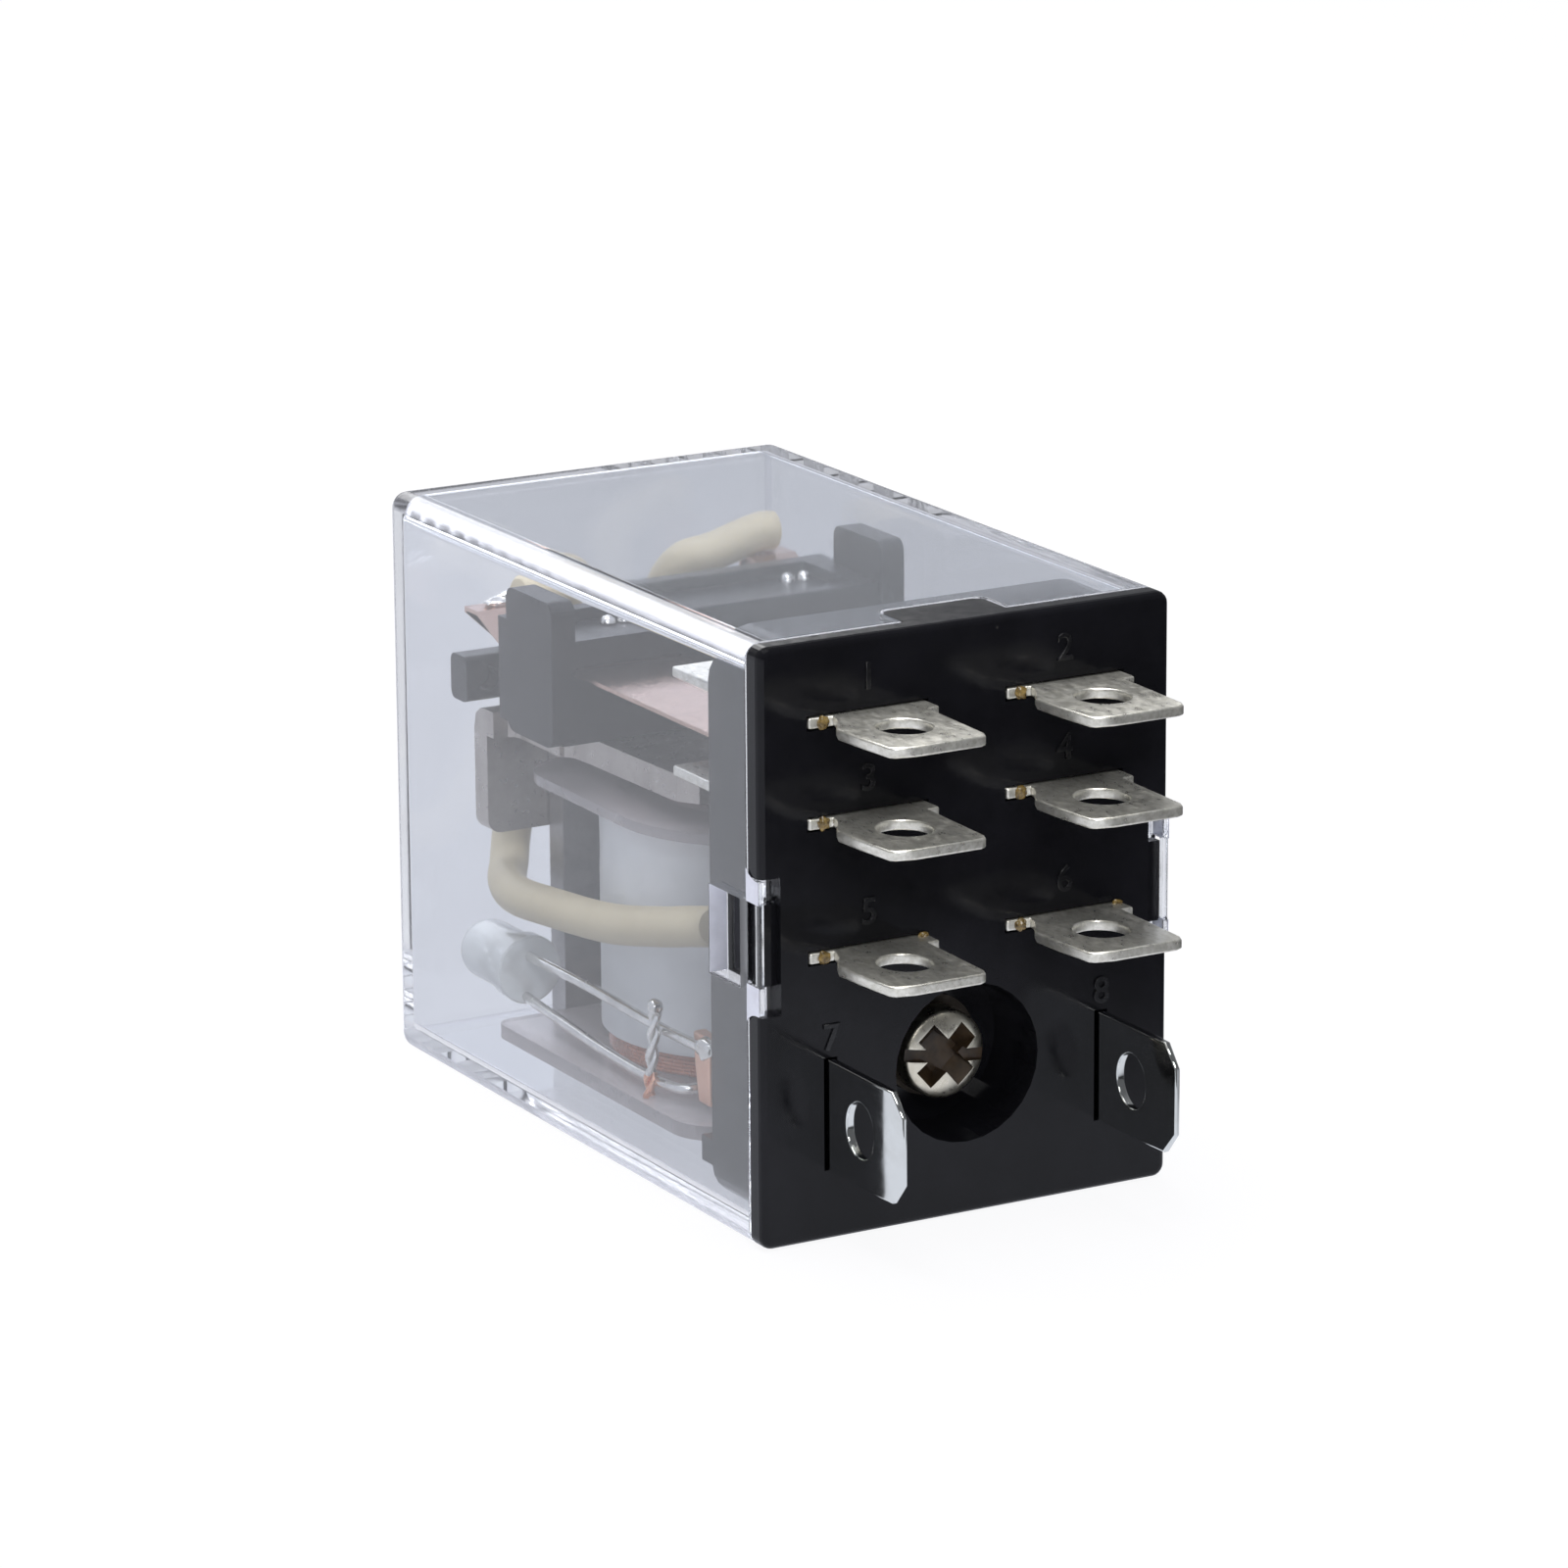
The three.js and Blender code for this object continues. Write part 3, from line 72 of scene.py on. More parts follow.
SIDES = ((-1, "left"), (1, "right"))
print("nodes", len(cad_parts), "box", cad_bounds)

# %% [markdown]
# The camera is a real lens at the photograph's place. Its turn was fitted to the corners of the cover, the
# base and the blades, so that an edge of the model falls on the same edge of the picture. A ray can cross
# many clear walls here, so more bounces than usual are allowed.

# %% Camera
CAMERA_RIGHT = (0.87018005, -0.49268531, -0.00691783)
CAMERA_UP = (0.13555719, 0.22587578, 0.96467838)
CAMERA_BACK = (-0.4737203, -0.84038165, 0.26333964)
CAMERA_PLACE = (-156.7857, -261.4143, 89.5956)
SENSOR_WIDTH = 36
FOCAL_PIXELS = 7184.67
PICTURE_PIXELS = 1600
CLIP_METRES = (0.01, 20)
CLEAR_BOUNCES = 48
GLOSSY_BOUNCES = 24


def add_object(name, data):
    made = bpy.data.objects.new(name, data)
    bpy.context.scene.collection.objects.link(made)
    return made


camera_data = bpy.data.cameras.new("camera")
camera_data.sensor_width = SENSOR_WIDTH
camera_data.lens = SENSOR_WIDTH * (FOCAL_PIXELS / PICTURE_PIXELS)
camera_data.clip_start, camera_data.clip_end = CLIP_METRES
camera = add_object("camera", camera_data)
camera_turn = Matrix([CAMERA_RIGHT, CAMERA_UP, CAMERA_BACK]).transposed().to_4x4()
camera.matrix_world = Matrix.Translation(Vector(CAMERA_PLACE) * MM) @ camera_turn
bpy.context.scene.camera = camera
bpy.context.scene.view_settings.view_transform = "Standard"
bpy.context.scene.cycles.max_bounces = CLEAR_BOUNCES
bpy.context.scene.cycles.transmission_bounces = CLEAR_BOUNCES
bpy.context.scene.cycles.glossy_bounces = GLOSSY_BOUNCES
print("lens", round(camera_data.lens, 1), "mm")


# %% [markdown]
# A material is a small net of nodes. An input takes either a value or another node's output, so one helper
# can set both, and each finish below reads as a list of what it is made of.

# %% Helpers for nodes
MIX_SOCKETS = {"RGBA": (6, 7, 2), "FLOAT": (2, 3, 0)}


def set_inputs(tree, node, inputs):
    for key, value in inputs.items():
        if isinstance(value, bpy.types.NodeSocket):
            tree.links.new(value, node.inputs[key])
        else:
            node.inputs[key].default_value = value


def add_node(tree, kind, inputs=None, **settings):
    node = tree.nodes.new(kind)
    for key, value in settings.items():
        setattr(node, key, value)
    set_inputs(tree, node, inputs or {})
    return node


def calculate(tree, operation, first, second):
    return add_node(tree, "ShaderNodeMath", {0: first, 1: second}, operation=operation).outputs[0]


def map_range(tree, value, source, target=(0, 1)):
    return add_node(tree, "ShaderNodeMapRange", {
        "Value": value, "From Min": source[0], "From Max": source[1],
        "To Min": target[0], "To Max": target[1],
    }).outputs["Result"]


def mix_values(tree, kind, share, first, second):
    low, high, result = MIX_SOCKETS[kind]
    node = add_node(tree, "ShaderNodeMix", {0: share, low: first, high: second}, data_type=kind)
    return node.outputs[result]


def mix_shaders(tree, share, first, second):
    return add_node(tree, "ShaderNodeMixShader", {"Fac": share, 1: first, 2: second}).outputs[0]


# %% Helpers for groups and materials
NUMBER = "NodeSocketFloat"
COLOUR = "NodeSocketColor"


def new_group(name, numbers, colours, outputs):
    tree = bpy.data.node_groups.new(name, "ShaderNodeTree")
    for key, value in numbers.items():
        tree.interface.new_socket(key, in_out="INPUT", socket_type=NUMBER).default_value = value
    for key in colours:
        tree.interface.new_socket(key, in_out="INPUT", socket_type=COLOUR)
    for key, kind in outputs.items():
        tree.interface.new_socket(key, in_out="OUTPUT", socket_type=kind)
    return tree, add_node(tree, "NodeGroupInput").outputs, add_node(tree, "NodeGroupOutput")


def use_group(tree, group, **values):
    inputs = {}
    for key, value in values.items():
        inputs[key.capitalize()] = (*value, 1) if isinstance(value, tuple) else value
    return add_node(tree, "ShaderNodeGroup", inputs, node_tree=group)


def new_material(look):
    made = bpy.data.materials.new(look.replace(" ", "_") + "_finish")
    made.use_nodes = True
    tree = made.node_tree
    tree.nodes.clear()
    output = add_node(tree, "ShaderNodeOutputMaterial")
    shader = add_node(tree, "ShaderNodeBsdfPrincipled")
    set_inputs(tree, output, {"Surface": shader.outputs["BSDF"]})
    return made, tree, shader, output


# %% [markdown]
# Three effects come back on many parts: a colour that drifts between two tones, a fine grain that changes
# the gloss and the height of the surface, and sparse specks of dust. Each is one node group with named
# inputs, built once and set differently in each material.

# %% Shared effect: two tones
# A cloud of noise on the object. A stretch below 1 draws it out along y, the way that the sheet was rolled.
def cloud(tree, inside, detail, roughness):
    place = add_node(tree, "ShaderNodeTexCoord").outputs["Object"]
    stretch = add_node(tree, "ShaderNodeCombineXYZ", {"X": 1, "Y": inside["Stretch"], "Z": 1}).outputs[0]
    scaled = add_node(tree, "ShaderNodeVectorMath", {0: place, 1: stretch}, operation="MULTIPLY").outputs[0]
    return add_node(tree, "ShaderNodeTexNoise", {
        "Vector": scaled, "Scale": inside["Scale"], "Detail": detail, "Roughness": roughness,
    }).outputs["Fac"]


def tones_group():
    tree, inside, outside = new_group(
        "two_tones", {"Scale": 300, "Stretch": 1, "Low": 0.35, "High": 0.65}, ["First", "Second"],
        {"Colour": COLOUR, "Mask": NUMBER},
    )
    mask = map_range(tree, cloud(tree, inside, 5, 0.62), (inside["Low"], inside["High"]))
    colour = mix_values(tree, "RGBA", mask, inside["First"], inside["Second"])
    set_inputs(tree, outside, {"Colour": colour, "Mask": mask})
    return tree


tones = tones_group()
print("effect", tones.name)


# %% Shared effect: fine grain
GRAIN_RANGE = (0.32, 0.68)


def grain_group():
    tree, inside, outside = new_group(
        "fine_grain", {"Scale": 1800, "Stretch": 1, "Smooth": 0.2, "Rough": 0.35}, [],
        {"Roughness": NUMBER, "Height": NUMBER},
    )
    height = cloud(tree, inside, 3, 0.6)
    roughness = map_range(tree, height, GRAIN_RANGE, (inside["Smooth"], inside["Rough"]))
    set_inputs(tree, outside, {"Roughness": roughness, "Height": height})
    return tree


grain = grain_group()
print("effect", grain.name)


# %% Shared effect: specks of dust
SPECK_RANGE = (0.09, 0.04)


def specks_group():
    tree, inside, outside = new_group(
        "dust_specks", {"Scale": 900, "Amount": 0.3}, ["Ground", "Dust"], {"Colour": COLOUR, "Mask": NUMBER},
    )
    place = add_node(tree, "ShaderNodeTexCoord").outputs["Object"]
    cells = add_node(tree, "ShaderNodeTexVoronoi", {"Vector": place, "Scale": inside["Scale"]}, feature="F1")
    spot = map_range(tree, cells.outputs["Distance"], SPECK_RANGE)
    parts = add_node(tree, "ShaderNodeSeparateColor", {"Color": cells.outputs["Color"]})
    chosen = calculate(tree, "LESS_THAN", parts.outputs[0], inside["Amount"])
    mask = calculate(tree, "MULTIPLY", spot, chosen)
    colour = mix_values(tree, "RGBA", mask, inside["Ground"], inside["Dust"])
    set_inputs(tree, outside, {"Colour": colour, "Mask": mask})
    return tree


specks = specks_group()
print("effect", specks.name)


# %% [markdown]
# Every finish starts alike: two tones for its colour, and a grain that sets the gloss and, through a bump
# node, small changes of the normal. The bump's height is a real one, in millimetres.

# %% A finish from two tones and a grain
finishes = {}


def new_finish(look, ground, gloss, bump, height, inputs):
    made, tree, shader, output = new_material(look)
    colour = use_group(tree, tones, **ground).outputs["Colour"]
    skin = use_group(tree, grain, **gloss).outputs
    lift = {"Strength": bump, "Distance": height * MM, "Height": skin["Height"]}
    normal = add_node(tree, "ShaderNodeBump", lift).outputs["Normal"]
    set_inputs(tree, shader, {
        "Base Color": colour, "Roughness": skin["Roughness"], "Normal": normal, **inputs,
    })
    finishes[look] = made
    return tree, shader, output, colour


# %% [markdown]
# The base and the card are black moulded plastic. The base is polished, so it mirrors the blades faintly,
# and it carries a few specks of dust. The card is satin. The index is a little below a real one, because
# the base in the photograph mirrors less than a clean one would.

# %% Black mouldings
MOULDING_INDEX = 1.34
MOULDING_GROUND = {"scale": 170, "first": (0.0035, 0.0035, 0.0045), "second": (0.0065, 0.0065, 0.0085)}
DUST = (0.09, 0.085, 0.075)


def black_moulding(look, smooth, rough, dusty):
    gloss = {"scale": 1500, "smooth": smooth, "rough": rough}
    tree, shader, _, colour = new_finish(look, MOULDING_GROUND, gloss, 0.06, 0.02, {"IOR": MOULDING_INDEX})
    dust = use_group(tree, specks, scale=640, amount=dusty, dust=DUST, ground=colour)
    set_inputs(tree, shader, {"Base Color": dust.outputs["Colour"]})


black_moulding("base", 0.1, 0.2, 0.05)
black_moulding("card", 0.3, 0.42, 0.0)
print("finishes", list(finishes))


# %% [markdown]
# The cover is clear polycarbonate, 1 mm thick, so a refracting shader with its real index bends what is
# behind each wall as the photograph does. Light from the lamps passes straight through it: the Light Path
# node swaps in a transparent shader for shadow rays, or the inside would stay dark and noisy. The bobbin
# and the lamp are milky, so less light goes through them. The rounded edges of the cover get a paler,
# lilac, milky finish: a painted highlight along the edges.

# %% Clear and milky plastics
COVER_INDEX = 1.585
COVER_TINT = (0.93, 0.94, 0.96)


def clear_plastic(
    look, first, second, smooth, rough, clearness, tint, scale=260, grain_scale=900, bump=0.015, index=1.5,
):
    ground = {"scale": scale, "first": first, "second": second}
    gloss = {"scale": grain_scale, "smooth": smooth, "rough": rough}
    inputs = {"Transmission Weight": clearness, "IOR": index}
    tree, shader, output, _ = new_finish(look, ground, gloss, bump, 0.02, inputs)
    shadow = add_node(tree, "ShaderNodeLightPath").outputs["Is Shadow Ray"]
    clear = add_node(tree, "ShaderNodeBsdfTransparent", {"Color": (*tint, 1)}).outputs["BSDF"]
    set_inputs(tree, output, {"Surface": mix_shaders(tree, shadow, shader.outputs["BSDF"], clear)})


clear_plastic(
    "cover", (0.785, 0.805, 0.855), (0.805, 0.825, 0.875), 0.01, 0.03, 1, COVER_TINT,
    scale=60, grain_scale=500, bump=0.02, index=COVER_INDEX,
)
# A paler, milky finish for the cover's rounded edges: a painted highlight.
clear_plastic("painted edge highlight", (0.63, 0.64, 0.71), (0.69, 0.70, 0.77), 0.14, 0.22, 0.93, COVER_TINT, scale=300)
clear_plastic("bobbin", (0.62, 0.575, 0.575), (0.69, 0.64, 0.635), 0.16, 0.24, 0.66, (0.7, 0.67, 0.66))
clear_plastic(
    "lamp", (0.70, 0.715, 0.71), (0.74, 0.755, 0.75), 0.08, 0.12, 0.4, (0.86, 0.87, 0.86), scale=120,
)
print("finishes", len(finishes))


# %% [markdown]
# Metals differ in colour, in how far the plating has dulled, and in the direction of their rolling marks.
# The grain is stretched along the blades for those, and left even on turned and cast pieces.

# %% Metals
DULL_RANGE = {"low": 0.35, "high": 0.62}


def metal(look, bright, dull, smooth, rough, scale=420, bump=0.12, stretch=1, metallic=1):
    ground = {"scale": scale, "stretch": stretch, "first": dull, "second": bright, **DULL_RANGE}
    gloss = {"scale": 2600, "stretch": stretch, "smooth": smooth, "rough": rough}
    new_finish(look, ground, gloss, bump, 0.03, {"Metallic": metallic})


metal("contact blade", (0.93, 0.91, 0.84), (0.72, 0.70, 0.62), 0.26, 0.44, 4600, 0.3, 0.5, 0.88)
metal("coil blade", (0.84, 0.86, 0.85), (0.76, 0.77, 0.75), 0.06, 0.12, 500, 0.02, 0.5)
metal("blade end", (0.86, 0.56, 0.42), (0.72, 0.42, 0.3), 0.3, 0.45)
metal("contact", (0.88, 0.88, 0.87), (0.66, 0.66, 0.66), 0.2, 0.34)
metal("leaf", (0.68, 0.49, 0.42), (0.6, 0.42, 0.34), 0.12, 0.2, 160, 0.04)
metal("armature", (0.46, 0.42, 0.39), (0.36, 0.325, 0.30), 0.26, 0.38, 500, 0.05)
metal("yoke", (0.30, 0.29, 0.295), (0.21, 0.205, 0.21), 0.32, 0.44, 500, 0.06)
# The core's brownish pink is a painted reflection of the copper leaf above its pole face.
metal("core", (0.56, 0.44, 0.40), (0.44, 0.33, 0.30), 0.3, 0.44)
metal("screw", (0.94, 0.90, 0.78), (0.84, 0.78, 0.64), 0.24, 0.4, 700)
metal("washer", (0.07, 0.06, 0.05), (0.035, 0.03, 0.025), 0.35, 0.5)
metal("wire", (0.80, 0.79, 0.76), (0.56, 0.545, 0.52), 0.16, 0.28)
metal("copper", (0.86, 0.48, 0.33), (0.66, 0.32, 0.2), 0.22, 0.36)
metal("spring", (0.66, 0.64, 0.61), (0.42, 0.4, 0.375), 0.2, 0.32)
metal("solder", (0.84, 0.83, 0.80), (0.62, 0.60, 0.56), 0.14, 0.3, 700, 0.3)
print("finishes", len(finishes))


# %% [markdown]
# The opaque plastics, the tape and the coatings share one recipe, some with a clear coat. Resin left by
# soldering is amber and glassy. The winding is enamelled copper, a metal under a clear coat. Two finishes
# here are painted light: a dark brown for the shade in the screw's drive, and a pale skin for highlights on
# the snap.

# %% Plastics, tape, coatings and enamelled copper
def plain_plastic(look, first, second, smooth, rough, scale=300, bump=0.12, coat=0):
    ground = {"scale": scale, "first": first, "second": second}
    gloss = {"scale": 2200, "smooth": smooth, "rough": rough}
    new_finish(look, ground, gloss, bump, 0.04, {"Coat Weight": coat})


plain_plastic("tape", (0.65, 0.665, 0.675), (0.71, 0.722, 0.73), 0.36, 0.5, 420, 0.2)
plain_plastic("sleeve", (0.55, 0.47, 0.31), (0.61, 0.53, 0.36), 0.42, 0.55, 260)
plain_plastic("resistor", (0.46, 0.35, 0.21), (0.55, 0.43, 0.27), 0.28, 0.36, 500, 0.1, 0.4)
# Painted shade: the dark brown of the faces in the screw's drive.
plain_plastic("painted recess shade", (0.018, 0.011, 0.006), (0.05, 0.03, 0.014), 0.3, 0.5, 900)
plain_plastic("number", (0.004, 0.004, 0.005), (0.007, 0.007, 0.009), 0.16, 0.3)
# A pale lilac skin for the snap: a painted highlight.
plain_plastic("frosted skin", (0.52, 0.53, 0.61), (0.6, 0.61, 0.7), 0.3, 0.45, 900, 0.05)
plain_plastic("resin", (0.045, 0.026, 0.005), (0.24, 0.16, 0.045), 0.12, 0.3, 3800, 0.5, 0.5)
new_finish(
    "winding", {"scale": 380, "first": (0.26, 0.07, 0.035), "second": (0.46, 0.17, 0.085)},
    {"scale": 1800, "smooth": 0.2, "rough": 0.34}, 0.1, 0.02, {"Metallic": 0.8, "Coat Weight": 0.6},
)
print("finishes", len(finishes))

# %% [markdown]
# Some CAD pieces stay as they are, because the solid already has their real form. They only get their
# finish.

# %% Finishes of the CAD pieces that stay
STAYING = {
    "base": "base", "contact_card": "card", "leaf_spring_left": "leaf", "leaf_spring_right": "leaf",
    "armature": "armature", "yoke": "yoke", "core": "core", "bobbin": "bobbin", "lock_washer": "washer",
}
for node, look in STAYING.items():
    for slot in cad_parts[node].material_slots:
        slot.material = finishes[look]
print("dressed", len(STAYING))


# %% [markdown]
# All other pieces are drawn again, finer than the CAD solids. This helper makes the mesh, gives it a finish,
# hides the CAD node that it stands in for, and lets it ride on a body.


def mesh_piece(name, vertices, faces, look, body="housing", node=None, sharp=40):
    mesh = bpy.data.meshes.new(name)
    mesh.from_pydata([Vector(v) * MM for v in vertices], [], faces)
    made = bmesh.new()
    made.from_mesh(mesh)
    bmesh.ops.recalc_face_normals(made, faces=made.faces)
    made.to_mesh(mesh)
    made.free()
    mesh.polygons.foreach_set("use_smooth", [True] * len(mesh.polygons))
    mesh.set_sharp_from_angle(angle=math.radians(sharp))
    mesh.materials.append(finishes[look])
    piece = add_object(name, mesh)
    if node:
        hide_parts(node)
    if body:
        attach(piece, body)
    return piece


def box_of(node):
    low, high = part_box(node)
    return low / MM, high / MM


# The box of a node, and the column (x) and row (z) of its middle.
def place_of(node):
    low, high = box_of(node)
    return low, high, (low[0] + high[0]) / 2, (low[2] + high[2]) / 2


# %% [markdown]
# A straight piece is an outline pushed along one axis. Boolean modifiers join pieces to it or cut them from
# it, a bevel rounds what is sharper than its angle, and weighted normals keep flat faces flat between round
# edges.

# %% Straight pieces, booleans and rounded edges
# The sides of a tube between rings of points, and its two ends.
def tube_faces(rings, per_ring):
    starts = [r * per_ring for r in range(rings)]
    sides = [
        [a + s, a + (s + 1) % per_ring, b + (s + 1) % per_ring, b + s]
        for a, b in zip(starts, starts[1:]) for s in range(per_ring)
    ]
    ends = [[start + s for s in range(per_ring)] for start in (starts[0], starts[-1])]
    return sides, ends


# The axis is x or z. The outline's points are given in the two directions that it leaves.
def prism_piece(name, outline, axis, start, end, look, body="housing"):
    vertices = [(c, a, b) if axis == "x" else (a, b, c) for c in (start, end) for a, b in outline]
    sides, ends = tube_faces(2, len(outline))
    return mesh_piece(name, vertices, [*ends, *sides], look, body)


def block_piece(name, x, y, z, look, body="housing"):
    return prism_piece(name, [(x[0], y[0]), (x[1], y[0]), (x[1], y[1]), (x[0], y[1])], "z", *z, look, body)


def finished_mesh(piece):
    bpy.context.view_layer.update()
    return bpy.data.meshes.new_from_object(piece.evaluated_get(bpy.context.evaluated_depsgraph_get()))


def finish_piece(piece, joined, cutters, rounding, segments=3, angle=40):
    for operation, others in (("UNION", joined), ("DIFFERENCE", cutters)):
        for other in others:
            step = piece.modifiers.new(other.name, "BOOLEAN")
            step.operation, step.solver, step.object = operation, "EXACT", other
            step.material_mode = "TRANSFER"
    bevel = piece.modifiers.new("rounding", "BEVEL")
    bevel.width, bevel.segments = rounding * MM, segments
    bevel.limit_method, bevel.angle_limit = "ANGLE", math.radians(angle)
    normals = piece.modifiers.new("flat_faces", "WEIGHTED_NORMAL")
    normals.weight, normals.keep_sharp = 100, True
    made = finished_mesh(piece)
    piece.modifiers.clear()
    piece.data = made
    for other in (*joined, *cutters):
        bpy.data.objects.remove(other)


def stand_in(piece, node):
    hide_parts(node)
    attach(piece, "housing")


# %% [markdown]
# The cover is a deep moulded box. Its edges are round, and light bends smoothly there, so it is drawn again
# with many more facets than the CAD solid: rings of points from the inner end to the rim and back over the
# outside.

# %% Walls of the clear cover
COVER_HALF_WIDTH = 10.75
COVER_HALF_HEIGHT = 14
COVER_END = 36.5
COVER_RIM = 1.1
COVER_WALL = 1
COVER_EDGE = 0.8
CAVITY_EDGE = 0.5
CAVITY_END_EDGE = 0.15
CAVITY_END_STEPS = 3
LEAST_CORNER = 0.02
CORNER_STEPS = 8


def quarter_turn(steps):
    return [i / steps * math.pi / 2 for i in range(steps + 1)]


def corner_ring(half_x, half_z, radius, y):
    ring = []
    for corner, (sign_x, sign_z) in enumerate(((1, 1), (-1, 1), (-1, -1), (1, -1))):
        for i in range(CORNER_STEPS + 1):
            angle = (corner + i / CORNER_STEPS) * math.pi / 2
            x = sign_x * (half_x - radius) + radius * math.cos(angle)
            ring.append((x, y, sign_z * (half_z - radius) + radius * math.sin(angle)))
    return ring


# Rings that round the closed end, from the walls to its flat.
def closed_end(half_x, half_z, corner, end, edge, steps):
    rings = []
    for turn in quarter_turn(steps):
        inset = edge * (1 - math.cos(turn))
        radius = max(corner - inset, LEAST_CORNER)
        rings.append(corner_ring(half_x - inset, half_z - inset, radius, end - edge + edge * math.sin(turn)))
    return rings


inner_x, inner_z = COVER_HALF_WIDTH - COVER_WALL, COVER_HALF_HEIGHT - COVER_WALL
inside = closed_end(inner_x, inner_z, CAVITY_EDGE, COVER_END - COVER_WALL, CAVITY_END_EDGE, CAVITY_END_STEPS)
outside = closed_end(COVER_HALF_WIDTH, COVER_HALF_HEIGHT, COVER_EDGE, COVER_END, COVER_EDGE, CORNER_STEPS)
rings = [
    *reversed(inside), corner_ring(inner_x, inner_z, CAVITY_EDGE, COVER_RIM),
    corner_ring(COVER_HALF_WIDTH, COVER_HALF_HEIGHT, COVER_EDGE, COVER_RIM), *outside,
]
sides, ends = tube_faces(len(rings), len(rings[0]))
cover = mesh_piece("cover_shell", [point for ring in rings for point in ring], [*ends, *sides], "cover", None)
print("cover rings", len(rings))

# %% [markdown]
# The cover snaps over a wedge on each side of the base: a thin tongue reaches past the rim, with a slot in
# it and a straight window behind it. A notch in the top lets the key tab of the base in. The tongues are
# joined to the box, and the rest is cut from it. Where moulded walls meet, the faces of the round edges get
# the paler edge finish, a painted highlight.

# %% Tongues, slots, windows and key notch
# Start and end, measured from the seat face, then foot and top.
TONGUE = (0.02, 1.15, -2.9, 3.3)
TONGUE_THICKNESS = 0.28
TONGUE_SLOT = (0.36, 1.1, -1.6, 2.25)
WINDOW = (1.78, 4.6, -2.0, 2.15)
NOTCH_HALF = 2.75
NOTCH_END = 3.4
NOTCH_CORNER = 0.6
OVERRUN = 1
COVER_ROUNDING = 0.06
FLAT_NORMAL = 0.998

tongues, openings = [], []
for side, label in SIDES:
    skin = sorted((side * (COVER_HALF_WIDTH - TONGUE_THICKNESS), side * COVER_HALF_WIDTH))
    tongues.append(block_piece(f"tongue_{label}", skin, TONGUE[:2], TONGUE[2:], "cover", None))
    through = sorted((side * (inner_x - OVERRUN), side * (COVER_HALF_WIDTH + OVERRUN)))
    for kind, place in (("slot", TONGUE_SLOT), ("window", WINDOW)):
        openings.append(block_piece(f"{kind}_{label}", through, place[:2], place[2:], "cover", None))
notch = [(-NOTCH_HALF, -OVERRUN), (NOTCH_HALF, -OVERRUN)]
turns = quarter_turn(CORNER_STEPS)
for sign, arc in ((1, turns), (-1, [math.pi / 2 - turn for turn in turns])):
    for turn in arc:
        across = sign * (NOTCH_HALF - NOTCH_CORNER + NOTCH_CORNER * math.cos(turn))
        notch.append((across, NOTCH_END - NOTCH_CORNER + NOTCH_CORNER * math.sin(turn)))
notch_low, notch_high = inner_z - OVERRUN, COVER_HALF_HEIGHT + OVERRUN
openings.append(prism_piece("notch", notch, "z", notch_low, notch_high, "cover", None))
finish_piece(cover, tongues, openings, COVER_ROUNDING, 2, 50)
# The faces of the rounded edges, near two outer walls, take the paler finish: a painted highlight.
cover.data.materials.append(finishes["painted edge highlight"])
painted_edge_index = len(cover.data.materials) - 1
for face in cover.data.polygons:
    x, y, z = (abs(v) / MM for v in face.center)
    reach = (COVER_HALF_WIDTH, COVER_END, COVER_HALF_HEIGHT)
    near_edges = sum(v > end - COVER_EDGE for v, end in zip((x, y, z), reach))
    if near_edges > 1 and max(abs(v) for v in face.normal) < FLAT_NORMAL:
        face.material_index = painted_edge_index
stand_in(cover, "dust_cover")
print("cover faces", len(cover.data.polygons))

# %% [markdown]
# The ends of the snap tongue and the far wall of the window are thin pale skins on the cover: a painted
# highlight where light shows bright through the clear walls.

# %% Painted highlights on the snap
SKIN = 0.03
SKIN_GAP = 0.01
FLARE = [(0, 0), (0.35, 0.02), (0.65, 0.1), (0.9, 0.24), (1.1, 0.45)]
WINDOW_SKIN_INSET = 0.1
for side, label in SIDES:
    skin = [side * (COVER_HALF_WIDTH + SKIN_GAP), side * (COVER_HALF_WIDTH + SKIN_GAP + SKIN)]
    for end, edge, slot_edge, way in (
        ("upper", TONGUE[3], TONGUE_SLOT[3], 1), ("lower", TONGUE[2], TONGUE_SLOT[2], -1),
    ):
        outline = [(TONGUE[0] + out, edge + way * rise) for out, rise in FLARE]
        outline += [(FLARE[-1][0], slot_edge), (TONGUE[0], slot_edge)]
        prism_piece(f"tongue_{end}_{label}", outline, "x", *skin, "frosted skin")
    wall = sorted((side * (COVER_HALF_WIDTH - SKIN_GAP), side * (inner_x + WINDOW_SKIN_INSET)))
    block_piece(
        f"window_wall_{label}", wall, (WINDOW[1] - SKIN_GAP - SKIN, WINDOW[1] - SKIN_GAP),
        (WINDOW[2] + SKIN, WINDOW[3] - SKIN), "frosted skin",
    )
print("skins", 3 * len(SIDES))

# %% [markdown]
# The blades are stamped, so the edge is rolled over on all sides and round the hole. Each is an outline
# pushed to its thickness, with the hole cut through and the edges rounded. The outline's points are shares
# of the blade's width or height and of its length. The coil blades are thinned towards the tip, to enter
# the socket easily.

